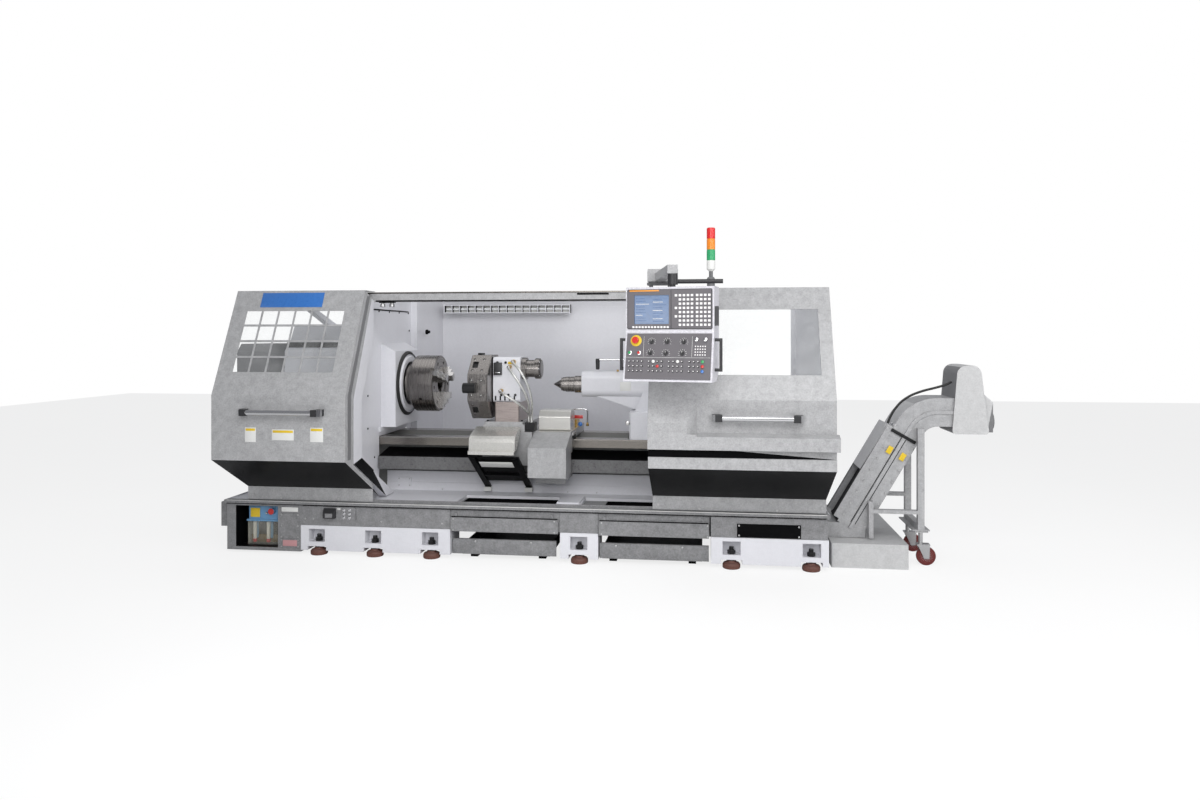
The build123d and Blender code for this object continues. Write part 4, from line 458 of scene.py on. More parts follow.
LENS_BANDS = ((2021.0, (0.02, 0.32, 0.12)), (2093.0, (0.75, 0.22, 0.01)), (2165.0, (0.6, 0.01, 0.01)))
METAL = {"metal": 1.0, "dust": 0.0, "wear": 0.0}
PLASTIC = {"grain": 0.0012, "dust": 0.05, "wear": 0.1}
FIELD = {"rough": 0.4, "grain": 0.002, "contrast": 0.06, "wear": 0.1}
LAMP_CAP = {"rough": 0.28, "grain": 0.002, "contrast": 0.06, "coat": 0.4, "wear": 0.1}
FINISHES = (
    Finish("grey_paint", (0.37, 0.37, 0.375), rough=0.42, grain=0.009, contrast=0.26, coat=0.25, dust=0.05),
    Finish("pale_grey_paint", (0.5, 0.5, 0.5), grain=0.009, contrast=0.14, coat=0.2, dust=0.03),
    # Dark grey paint, also used as painted shade on the hood's left side and in the groove of the left
    # door's edge.
    Finish("dark_grey_paint_and_shade", (0.17, 0.17, 0.175), grain=0.0035, contrast=0.2),
    # Darker grey of the base: a shaded copy of the grey paint, painted shade for the base under the tray.
    Finish("shaded_base_grey_paint", (0.22, 0.22, 0.225), grain=0.011, contrast=0.34, dust=0.05),
    Finish("cover_grey_paint", (0.13, 0.13, 0.132), rough=0.3, grain=0.011, contrast=0.3, coat=0.2,
           dust=0.05),
    Finish("white_paint", (0.7, 0.7, 0.735), rough=0.36, grain=0.006, contrast=0.04, relief=0.00008,
           coat=0.3, dust=0.05, wear=0.15),
    # Black paint, also used as painted shade in recesses, gaps and grooves, under edges and on faces turned
    # away from the light.
    Finish("black_paint", (0.004, 0.004, 0.0045), rough=0.3, grain=0.003, contrast=0.3, dust=0.0, wear=0.06,
           gloss=0.04),
    Finish("speckled_paint", (0.6, 0.59, 0.63), rough=0.42, grain=0.0028, contrast=0.3, coat=0.2,
           dust=0.03),
    Finish("oxide_paint", (0.12, 0.045, 0.032), rough=0.6, pattern=Pattern.CAST, grain=0.01, contrast=0.3),
    Finish("cast_iron", (0.16, 0.16, 0.155), rough=0.5, pattern=Pattern.CAST, grain=0.006, contrast=0.25,
           relief=0.0004, wear=0.5),
    Finish("ground_steel", (0.27, 0.25, 0.225), rough=0.2, metal=1.0, pattern=Pattern.BRUSHED_X,
           grain=0.0012, contrast=0.25, relief=0.00003, dust=0.05, wear=0.0),
    Finish("bright_steel", (0.62, 0.61, 0.6), rough=0.24, pattern=Pattern.TURNED_X, grain=0.0016,
           contrast=0.14, relief=0.00004, **METAL),
    Finish("turned_steel", (0.24, 0.225, 0.215), rough=0.24, metal=1.0, pattern=Pattern.TURNED_X,
           grain=0.004, contrast=0.45, relief=0.00006, dust=0.0, wear=0.2, under=(0.6, 0.6, 0.6)),
    Finish("rose_steel", (0.42, 0.36, 0.34), rough=0.3, metal=0.9, pattern=Pattern.BRUSHED_X, grain=0.003,
           relief=0.00004, dust=0.02, wear=0.2),
    Finish("cover_steel", (0.62, 0.61, 0.58), rough=0.26, metal=0.55, pattern=Pattern.BRUSHED_Y,
           grain=0.0012, contrast=0.1, relief=0.00003, dust=0.06, wear=0.0),
    Finish("chrome", (0.6, 0.6, 0.61), rough=0.08, pattern=Pattern.BRUSHED_X, grain=0.002, contrast=0.05,
           relief=0.00001, **METAL),
    Finish("zinc_screw", (0.5, 0.5, 0.5), rough=0.32, metal=1.0, grain=0.001, contrast=0.2, wear=0.0),
    Finish("black_oxide", (0.02, 0.02, 0.021), rough=0.38, metal=0.6, pattern=Pattern.TURNED_X, grain=0.003,
           contrast=0.35, dust=0.03, wear=0.5),
    Finish("blue_paint", (0.03, 0.16, 0.5), rough=0.3, contrast=0.08, coat=0.4),
    Finish("pump_paint", (0.13, 0.3, 0.5), rough=0.35, contrast=0.12, coat=0.3),
    Finish("rubber", (0.014, 0.014, 0.014), rough=0.62, grain=0.002, contrast=0.3, dust=0.1, wear=0.0),
    Finish("hose", (0.55, 0.55, 0.53), rough=0.34, metal=0.9, pattern=Pattern.BRAID, grain=0.0016,
           contrast=0.4, relief=0.0003, wear=0.0),
    Finish("panel_plastic", (0.12, 0.112, 0.122), rough=0.5, contrast=0.14, **PLASTIC),
    Finish("dark_plastic", (0.022, 0.022, 0.024), rough=0.4, contrast=0.25, **PLASTIC),
    # Light key plastic, also used for the painted glints on the round keys.
    Finish("key_plastic_and_glint", (0.82, 0.8, 0.8), grain=0.001, contrast=0.06, wear=0.1),
    Finish("orange_field", (0.78, 0.3, 0.03), **FIELD),
    Finish("pink_field", (0.52, 0.27, 0.28), rough=0.42, grain=0.002, contrast=0.06, wear=0.1),
    Finish("dark_oil", (0.14, 0.09, 0.015), rough=0.1, grain=0.01, contrast=0.1, dust=0.0, wear=0.0,
           coat=0.5),
    Finish("red_plastic", (0.55, 0.015, 0.01), **LAMP_CAP),
    Finish("green_plastic", (0.01, 0.3, 0.08), **LAMP_CAP),
    Finish("yellow_field", (0.72, 0.5, 0.02), **FIELD),
    # White field for labels, also used as a painted highlight on the tray rim's top edge.
    Finish("white_field_and_highlight", (0.72, 0.72, 0.7), rough=0.4, grain=0.002, contrast=0.04, wear=0.1),
    Finish("brass", (0.55, 0.36, 0.12), rough=0.28, metal=1.0, grain=0.002, contrast=0.12, wear=0.0),
    Finish("wheel_red", (0.13, 0.014, 0.012), rough=0.42, grain=0.003, contrast=0.12, wear=0.2),
    BandedFinish("lens", (0.7, 0.7, 0.68), rough=0.25, pattern=Pattern.RIBBED_Z, grain=0.0006,
                 contrast=0.06, relief=0.0004, wear=0.0, dust=0.0, coat=0.4, glow=0.25, bands=LENS_BANDS),
    GlowFinish("display", (0.085, 0.14, 0.25), rough=0.15, grain=0.02, contrast=0.2, wear=0.0, glow=0.3),
    GlowFinish("display_ink", (0.035, 0.08, 0.18), rough=0.15, grain=0.003, contrast=0.05, wear=0.0,
               glow=0.5),
    GlowFinish("lamp_tube", (0.95, 0.97, 1.0), rough=0.3, grain=0.01, contrast=0.02, wear=0.0, glow=0.15),
    ClearFinish("pane", (0.97, 0.98, 0.98), rough=0.06, share=0.97),
    ClearFinish("oil_plastic", (0.97, 0.96, 0.9), rough=0.08, share=0.95),
)
PALETTE = {finish.name: finish.build() for finish in FINISHES}
FaceRule = Callable[[Vector, Vector], int]


class Dresser:
    """Gives the CAD pieces their finishes, whole or face by face."""

    def whole(self, finish: str, *names: str) -> None:
        """Gives whole pieces one finish."""
        for name in names:
            self.by_face(name, (finish,))

    def by_face(self, name: str, finishes: Sequence[str], rule: Optional[FaceRule] = None) -> None:
        """Gives each face of a piece one of several finishes.

        Args:
            name: Name of the piece.
            finishes: Names of the finishes.
            rule: Takes a face's centre in drawing millimetres and its normal, and returns a finish's index.
        """
        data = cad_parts[name].data
        data.materials.clear()
        for finish in finishes:
            data.materials.append(PALETTE[finish])
        if rule is not None:
            for face in data.polygons:
                face.material_index = int(rule(DATUM.back(face.center), face.normal))


def placed(name: str, data: Optional[bpy.types.ID]) -> bpy.types.Object:
    """Returns a new object with its data, linked to the scene."""
    made = bpy.data.objects.new(name, data)
    bpy.context.scene.collection.objects.link(made)
    return made


def applied(source: bpy.types.Object) -> bpy.types.Mesh:
    """Returns a mesh of an object with its modifiers or curve settings applied."""
    bpy.context.view_layer.update()
    return bpy.data.meshes.new_from_object(source.evaluated_get(bpy.context.evaluated_depsgraph_get()))


def smooth(data: bpy.types.Mesh) -> None:
    """Shades a mesh smoothly except across sharp edges."""
    sharp_angle = 38.0
    data.shade_smooth()
    data.set_sharp_from_angle(angle=math.radians(sharp_angle))


class Maker:
    """Collects solids into one mesh and turns it into a piece that rides on a body.

    Attributes:
        name: Name of the piece.
        finishes: Names of its finishes.
        body: Name of the body that carries it.
        bevel: Width of its soft edges in millimetres, or 0.
    """

    def __init__(self, name: str, finishes: Sequence[str], body: str, bevel: float = 0.6) -> None:
        self.name = name
        self.finishes = finishes
        self.body = body
        self.bevel = bevel
        self.mesh = bmesh.new()

    def solid(self, rings: Sequence[Sequence[Vector]], finish: int = 0) -> None:
        """Adds a closed solid through rings of scene points, with flat ends."""
        rows = [[self.mesh.verts.new(point) for point in ring] for ring in rings]
        faces = [self.mesh.faces.new(rows[0][::-1]), self.mesh.faces.new(rows[-1])]
        count = len(rows[0])
        for low, high in zip(rows, rows[1:]):
            for i in range(count):
                j = (i + 1) % count
                faces.append(self.mesh.faces.new((low[i], low[j], high[j], high[i])))
        for face in faces:
            face.material_index = finish

    def box(self, x: Span, y: Span, z: Span, finish: int = 0, turn: Matrix = STRAIGHT) -> None:
        """Adds a block between drawing coordinates, turned by a matrix in drawing millimetres."""
        ring = [(x[0], y[0]), (x[1], y[0]), (x[1], y[1]), (x[0], y[1])]
        rows = [[DATUM.at(*(turn @ Vector((a, b, level)))) for a, b in ring] for level in z]
        self.solid(rows, finish)

    def turned(self, place: Matrix, profile: Sequence[Span], finish: int = 0, sides: int = 20) -> None:
        """Adds a turned solid about the Z axis of a frame.

        Args:
            place: Frame in drawing millimetres.
            profile: Pairs of height and radius in millimetres.
            finish: Index of the finish.
            sides: Number of sides.
        """
        angles = [2 * math.pi * index / sides for index in range(sides)]
        rings = [[DATUM.at(*(place @ Vector((radius * math.cos(angle), radius * math.sin(angle), height))))
                  for angle in angles] for height, radius in profile]
        self.solid(rings, finish)

    def lathe(self, start: Sequence[float], way: Way, profile: Sequence[Span], finish: int = 0,
              sides: int = 24) -> None:
        """Adds a turned solid that starts at a drawing point and runs one way."""
        axis = way.vector
        side = axis.orthogonal().normalized()
        columns = Matrix((side, axis.cross(side), axis)).transposed().to_4x4()
        self.turned(Matrix.Translation(start) @ columns, profile, finish, sides)

    def prism(self, outline: Sequence[Span], x: Span, finish: int = 0) -> None:
        """Adds a solid with a Y-Z outline that runs along X."""
        self.solid([[DATUM.at(level, a, b) for a, b in outline] for level in x], finish)

    def tube(self, points: Sequence[Triple], radius: float, finish: int = 0) -> None:
        """Adds a smooth round tube through drawing points."""
        curve = bpy.data.curves.new("route", "CURVE")
        curve.dimensions = "3D"
        curve.resolution_u = 6
        spline = curve.splines.new("NURBS")
        spline.points.add(len(points) - 1)
        for handle, point in zip(spline.points, points):
            handle.co = (*DATUM.at(*point), 1.0)
        spline.order_u = 3
        spline.use_endpoint_u = True
        curve.bevel_depth = radius * MM
        curve.bevel_resolution = 2
        curve.use_fill_caps = True
        holder = placed("route", curve)
        data = applied(holder)
        for face in data.polygons:
            face.material_index = finish
        self.mesh.from_mesh(data)
        bpy.data.objects.remove(holder)
        bpy.data.curves.remove(curve)
        bpy.data.meshes.remove(data)

    def finish(self) -> None:
        """Turns the collected solids into one object on its body."""
        bevel_angle = 40.0
        bmesh.ops.recalc_face_normals(self.mesh, faces=self.mesh.faces)
        data = bpy.data.meshes.new(self.name)
        self.mesh.to_mesh(data)
        self.mesh.free()
        for finish in self.finishes:
            data.materials.append(PALETTE[finish])
        made = placed(self.name, data)
        if self.bevel:
            bevel = made.modifiers.new("soft edges", "BEVEL")
            bevel.width = self.bevel * MM
            bevel.segments = 2
            bevel.limit_method = "ANGLE"
            bevel.angle_limit = math.radians(bevel_angle)
            softened = applied(made)
            made.modifiers.clear()
            made.data = softened
        smooth(made.data)
        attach(made, self.body)


class FieldGenerator:
    """Geometry Nodes generator that stands a small part on each of many points."""

    def __init__(self, name: str) -> None:
        self.group = bpy.data.node_groups.new(name, "GeometryNodeTree")
        self.sockets: dict[str, str] = {}
        face = self.group.interface
        for in_out in ("OUTPUT", "INPUT"):
            face.new_socket("Geometry", in_out=in_out, socket_type="NodeSocketGeometry")
        for label, kind in (("Head radius", FLOAT), ("Head height", FLOAT), ("Socket share", FLOAT),
                            ("Seed", "NodeSocketInt"), ("Finish", "NodeSocketMaterial")):
            self.sockets[label] = face.new_socket(label, in_out="INPUT", socket_type=kind).identifier
        self.wire()

    def wire(self) -> None:
        """Builds a head with a hex socket, turned to its point's facing and spun at random."""
        tree = Tree(self.group)
        given = tree.add("NodeGroupInput").outputs
        radius, height = given["Head radius"], given["Head height"]

        def cylinder(sides: int, size, depth, lift) -> bpy.types.NodeSocket:
            """Returns a cylinder whose middle is lifted to a height."""
            solid = tree.add("GeometryNodeMeshCylinder", {"Vertices": sides, "Radius": size, "Depth": depth})
            feeds = {"Geometry": solid.outputs["Mesh"], "Translation": tree.joined({2: lift})}
            return tree.add("GeometryNodeTransform", feeds).outputs[0]

        head = cylinder(14, radius, height, tree.math("MULTIPLY", height, 0.5))
        socket = cylinder(6, tree.math("MULTIPLY", radius, given["Socket share"]),
                          tree.math("MULTIPLY", height, 0.5), tree.math("MULTIPLY", height, 0.78))
        both = tree.add("GeometryNodeJoinGeometry")
        tree.feed(both.inputs[0], head)
        tree.feed(both.inputs[0], socket)
        facing = tree.add("GeometryNodeInputNamedAttribute", {"Name": "facing"}, data_type="FLOAT_VECTOR")
        turn = tree.add("FunctionNodeAlignRotationToVector", {"Vector": facing.outputs[0]}, axis="Z")
        spin = tree.add("FunctionNodeRandomValue", {2: 0.0, 3: math.pi, "Seed": given["Seed"]},
                        data_type="FLOAT")
        feeds = {"Axis": (0.0, 0.0, 1.0), "Angle": spin.outputs[1]}
        about = tree.add("FunctionNodeAxisAngleToRotation", feeds)
        turned = tree.add("FunctionNodeRotateRotation", {0: turn.outputs[0], 1: about.outputs[0]},
                          rotation_space="LOCAL")
        feeds = {"Points": given["Geometry"], "Instance": both.outputs[0], "Rotation": turned.outputs[0]}
        stood = tree.add("GeometryNodeInstanceOnPoints", feeds)
        real = tree.add("GeometryNodeRealizeInstances", {0: stood.outputs[0]})
        feeds = {"Geometry": real.outputs[0], "Material": given["Finish"]}
        dressed = tree.add("GeometryNodeSetMaterial", feeds)
        tree.add("NodeGroupOutput", {0: dressed.outputs[0]})

    def grow(self, name: str, places: Sequence[Place], body: str, radius: float, height: float,
             finish: str) -> None:
        """Makes one mesh of the parts on one body.

        Args:
            name: Name of the piece.
            places: Scene point and facing of each part.
            body: Name of the body that carries them.
            radius: Head radius in millimetres.
            height: Head height in millimetres.
            finish: Name of the finish.
        """
        socket_share, spin_seed = 0.5, 3
        data = bpy.data.meshes.new(name)
        data.from_pydata([point for point, _ in places], [], [])
        facing = data.attributes.new("facing", "FLOAT_VECTOR", "POINT")
        for index, (_, way) in enumerate(places):
            facing.data[index].vector = way
        source = placed(name + " points", data)
        modifier = source.modifiers.new(name, "NODES")
        modifier.node_group = self.group
        values = {"Head radius": radius * MM, "Head height": height * MM, "Socket share": socket_share,
                  "Seed": spin_seed, "Finish": PALETTE[finish]}
        for label, value in values.items():
            modifier[self.sockets[label]] = value
        mesh = applied(source)
        bpy.data.objects.remove(source)
        bpy.data.meshes.remove(data)
        smooth(mesh)
        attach(placed(name, mesh), body)


SCREWS = FieldGenerator("Screw field")


def spots(way: Way, *points: Triple) -> list[Place]:
    """Returns the places of drawing points that face one way."""
    return [(DATUM.at(*point), way.vector) for point in points]


def row(way: Way, start: Triple, end: Triple, count: int = 2) -> list[Place]:
    """Returns evenly spaced places between two drawing points."""
    shares = [index / (count - 1) for index in range(count)]
    return spots(way, *([a + (b - a) * share for a, b in zip(start, end)] for share in shares))


@dataclass(frozen=True)
class Light:
    """A soft rectangular light.

    Attributes:
        name: Name of the light.
        at: Its place in drawing millimetres.
        to: The drawing point it looks at.
        size: Width and height in metres.
        watts: Power.
    """

    name: str
    at: Triple
    to: Triple
    size: Span
    watts: float

    def build(self) -> None:
        """Adds the light."""
        data = bpy.data.lights.new(self.name, "AREA")
        data.shape = "RECTANGLE"
        data.size, data.size_y = self.size
        data.energy = self.watts
        holder = placed(self.name, data)
        holder.location = DATUM.at(*self.at)
        holder.rotation_mode = "QUATERNION"
        holder.rotation_quaternion = (DATUM.at(*self.to) - holder.location).to_track_quat("-Z", "Y")


LIGHTS = (
    Light("Key", (3900, -4200, 3900), (2900, 500, 900), (5.0, 2.6), 165.0),
    Light("Top", (2500, 900, 4400), (2500, 700, 700), (6.0, 3.0), 58.0),
    Light("Left fill", (-3200, -2600, 2400), (1800, 400, 900), (2.4, 2.6), 14.0),
    Light("Right fill", (7600, -2600, 2200), (3900, 300, 900), (2.4, 2.4), 62.0),
    Light("Work area fill", (2300, -3200, 1500), (2100, 560, 480), (2.2, 0.8), 26.0),
)


@dataclass
class Studio:
    """Floor, backdrop, lights and camera.

    Attributes:
        eye: Camera's place in drawing millimetres.
        turn: Camera's turn to the left in degrees.
        lens: Focal length on the sensor.
        sensor: Width of the sensor.
        rise: Vertical shift that keeps the uprights upright.
        reach: Half the floor's side in metres.
        ambient: Strength of the soft light from all sides.
        floor_tone: Darkest and lightest tone of the floor.
        floor_glow: Share of the floor that the camera sees as plain white.
    """

    eye: Triple = (3336.0, -5540.0, 1533.0)
    turn: float = 7.125
    lens: float = 25.2
    sensor: float = 36.0
    rise: float = -0.055
    reach: float = 14.0
    ambient: float = 0.32
    floor_tone: Span = (0.93, 0.96)
    floor_glow: float = 0.8

    def build(self) -> None:
        """Makes the stage."""
        self.backdrop()
        self.floor()
        for light in LIGHTS:
            light.build()
        self.camera()

    def backdrop(self) -> None:
        """White world for what the camera sees, also through panes, and softer light for the rest."""
        world = bpy.data.worlds.new("Studio")
        bpy.context.scene.world = world
        tree = Tree.cleared(world)
        path = tree.add("ShaderNodeLightPath").outputs
        seen = tree.math("MAXIMUM", path["Is Camera Ray"], path["Is Transmission Ray"])
        soft = tree.add("ShaderNodeBackground", {"Color": (0.93, 0.95, 1.0, 1.0), "Strength": self.ambient})
        white = tree.add("ShaderNodeBackground", {"Color": WHITE, "Strength": 1.0})
        tree.blend(seen, soft, white, "ShaderNodeOutputWorld")

    def floor(self) -> None:
        """Light plain floor."""
        data = bpy.data.meshes.new("Floor")
        reach = self.reach
        corners = [(-reach, -reach, 0), (reach, -reach, 0), (reach, reach, 0), (-reach, reach, 0)]
        data.from_pydata(corners, [], [(0, 1, 2, 3)])
        made = bpy.data.materials.new("Floor")
        tree = Tree.cleared(made)
        faint = tree.remap(tree.noise(tree.place(), 0.8, 3.0), 0.3, 0.7, *self.floor_tone)
        grey = tree.add("ShaderNodeCombineColor", {0: faint, 1: faint, 2: faint})
        matte = tree.add("ShaderNodeBsdfDiffuse", {"Color": grey.outputs[0]})
        light = tree.add("ShaderNodeEmission", {"Color": WHITE, "Strength": 1.0})
        seen = tree.add("ShaderNodeLightPath").outputs["Is Camera Ray"]
        tree.blend(tree.math("MULTIPLY", seen, self.floor_glow), matte, light)
        data.materials.append(made)
        placed("Floor", data)

    def camera(self) -> None:
        """Level camera with a small vertical shift."""
        data = bpy.data.cameras.new("Camera")
        data.sensor_width = self.sensor
        data.lens = self.lens
        data.shift_y = self.rise
        data.clip_start, data.clip_end = 0.05, 60.0
        holder = placed("Camera", data)
        holder.location = DATUM.at(*self.eye)
        holder.rotation_euler = (math.radians(90), 0.0, math.radians(self.turn))
        bpy.context.scene.camera = holder
        bpy.context.scene.view_settings.view_transform = "Standard"


@dataclass
class Enclosure:
    """Doors, walls, beam and lamp, with sizes in drawing millimetres.

    Attributes:
        fold: Height of the doors' fold.
        skirt: Height where the skirt starts.
        band_top: Top of the right door's lower band.
        rail_bottom: Underside of the rail box.
        door_face: Depth of the doors' upright front.
        door_top: Depth and height of the doors' top edge.
        crease: Height where the doors' slope meets their front.
        wall_face: Place along the bed of the left wall's inner face.
        jamb: Place along the bed where the left wall's jamb starts.
        handle_line: Depth of the handles' bars.
        handle_radius: Radius of the bars with their tessellation.
        rail_top: Heights where the beam's rail and its cap start.
        tower_foot: Top of the signal tower's pole.
    """

    fold: float = 715.0
    skirt: float = 466.0
    band_top: float = 788.0
    rail_bottom: float = 840.0
    door_face: float = -440.0
    door_top: Span = (-125.0, 1828.0)
    crease: float = 1137.0
    wall_face: float = 957.0
    jamb: float = 1000.0
    handle_line: float = -495.0
    handle_radius: float = 17.6
    rail_top: Span = (1811.0, 1826.0)
    tower_foot: float = 1948.5

    def dress(self, dresser: Dresser) -> None:
        """Gives the enclosure its finishes."""

        # Lower slant, facing down and forward: black, partly its own paint and partly painted shade.
        def door(center: Vector, normal: Vector) -> int:
            return self.skirt < center.z < self.fold - 3 and normal.y < -LEANING and normal.z < -LEANING

        def right(center: Vector, normal: Vector) -> int:
            band = center.y < self.door_face - 1 and self.fold < center.z < self.band_top + 1
            # Faces under the rail box, above the grey band, are black as painted shade.
            shade_under_rail = self.fold < center.z < self.rail_bottom + 2 and normal.y < -LEANING
            return 1 if shade_under_rail and not band else door(center, normal)

        dresser.by_face("left_door", ("grey_paint", "black_paint"), door)
        dresser.by_face("right_door", ("grey_paint", "black_paint"), right)
        dresser.whole("pane", "left_window", "right_window")
        for name in ("left_handle", "right_handle"):
            low, high = DATUM.corners(name)

            def grip(center: Vector, normal: Vector, level: float = (low.z + high.z) / 2) -> int:
                return math.hypot(center.y - self.handle_line, center.z - level) >= self.handle_radius

            dresser.by_face(name, ("chrome", "dark_plastic"), grip)

        def wall(center: Vector, normal: Vector) -> int:
            # Lower faces of the jamb beside the door are black as painted shade in the gap.
            jamb = center.x > self.jamb and center.y < 20 and (normal.y < -0.3 or normal.x > 0.5)
            return jamb and center.z < self.fold - 40

        dresser.by_face("left_wall", ("white_paint", "black_paint"), wall)
        dresser.whole("white_paint", "rear_walls")
        low, high = DATUM.corners("work_lamp")

        def louvre(center: Vector, normal: Vector) -> int:
            outside = center.z > high.z - 1 or center.z < low.z + 1 or center.y < low.y + 1
            # Front-facing faces of the cells are white; their other inner faces are black as painted shade.
            return 0 if outside else (2 if normal.y < -SQUARE else 1)

        rail, cap = self.rail_top
        dresser.by_face("work_lamp", ("white_paint", "black_paint", "white_field_and_highlight"), louvre)
        dresser.by_face("top_beam", ("grey_paint", "dark_grey_paint_and_shade", "ground_steel"),
                        lambda center, _: 1 if center.z > cap else (2 if center.z > rail else 0))
        dresser.by_face("signal_tower", ("lens", "dark_grey_paint_and_shade"),
                        lambda center, _: center.z < self.tower_foot)

    def build(self) -> None:
        """Adds screws, blank plates, the lamp's tube and trims."""
        self.fasteners()
        self.plates()
        self.trims()

    def fasteners(self) -> None:
        """Screws of the skirts and rows of screws on the left wall."""
        outer_level, inner_level, front = 410, 388, 4
        for side, outer, inner in (("left", (196, 1024), (400, 820)), ("right", (3030, 4084), (3300, 3800))):
            places = spots(Way.FRONT, *((x, front, outer_level) for x in outer),
                           *((x, front, inner_level) for x in inner))
            SCREWS.grow(f"{side}_skirt_screws", places, f"{side}_door", 8, 4, "zinc_screw")
        places = []
        for start, end, count in (((180, 1700), (1000, 1700), 5), ((180, 1560), (180, 860), 4),
                                  ((1020, 1560), (1020, 860), 4), ((300, 640), (300, 460), 2)):
            places += row(Way.RIGHT, (self.wall_face, *start), (self.wall_face, *end), count)
        SCREWS.grow("wall_screws", places, "machine", 7, 4, "black_oxide")

    def plates(self) -> None:
        """Blank plates on the left door: a blue one on its slope and three small ones on its front."""
        levels, width, sheet, gap = (1713.0, 1812.0), (345, 785), 2.0, 0.2
        maker = Maker("blank_plates", ("blue_paint", "white_field_and_highlight", "yellow_field"), "left_door", 0.4)
        crease = Vector((0, self.door_face, self.crease))
        along = (Vector((0, *self.door_top)) - crease).normalized()
        out = Vector((0, -along.z, along.y))
        low, high = (crease + along * ((level - crease.z) / along.z) + out * gap for level in levels)
        outline = [(point.y, point.z) for point in (low, high, high + out * sheet, low + out * sheet)]
        maker.prism(outline, width, 0)
        face = self.door_face
        for x, z in (((387, 462), (836, 930)), ((572, 720), (850, 920)), ((830, 918), (842, 934))):
            maker.box(x, (face - 1.2, face - 0.1), z, 1)
            maker.box((x[0] + 5, x[1] - 5), (face - 1.6, face - 1.1), (z[1] - 22, z[1] - 6), 2)
        maker.finish()

    def trims(self) -> None:
        """Lamp tube, lines on the beam and the left wall with painted shade under the beam, a switch, door
        rollers and painted shade along the door's edge.
        """
        tube = Maker("lamp_tubes", ("lamp_tube",), "machine", 0.0)
        tube.lathe((1100, 1558, 1748), Way.RIGHT, [(0, 9), (1085, 9)], 0, 12)
        tube.finish()
        maker = Maker("enclosure_trims", ("black_paint", "zinc_screw", "white_paint"), "machine", 0.5)
        maker.box((2486, 2700), (19, 22), (1796, 1808), 0)
        # Black strip along the beam's lower front edge: painted shade under the beam.
        maker.box((1080, 2985), (20.6, 21.9), (1755, 1765), 0)
        maker.box((self.wall_face + 0.2, self.wall_face + 3), (90, 1000), (1706, 1716), 0)
        maker.lathe((1040, 1194, 1550), Way.RIGHT, [(0.2, 20), (16, 20), (20, 12), (34, 12)], 0)
        for x in (1120, 1186):
            maker.lathe((x, 50, 1754), Way.DOWN, [(0, 12), (14, 12), (16, 18), (34, 18), (36, 8)], 1)
        maker.box((1100, 1206), (30, 72), (1748, 1754.5), 0)
        maker.finish()
        # Dark grey band on the door's side flange: painted shade in the flange's groove.
        band = Maker("left_door_edge_shade_band", ("dark_grey_paint_and_shade",), "left_door", 0.0)
        front, back, top, bottom = -405, -355, 1790, 722
        outline = [(-90, top), (front, self.crease), (front, bottom), (back, bottom), (back, self.crease),
                   (-40, top)]
        band.prism(outline, (1066.1, 1066.9), 0)
        band.finish()


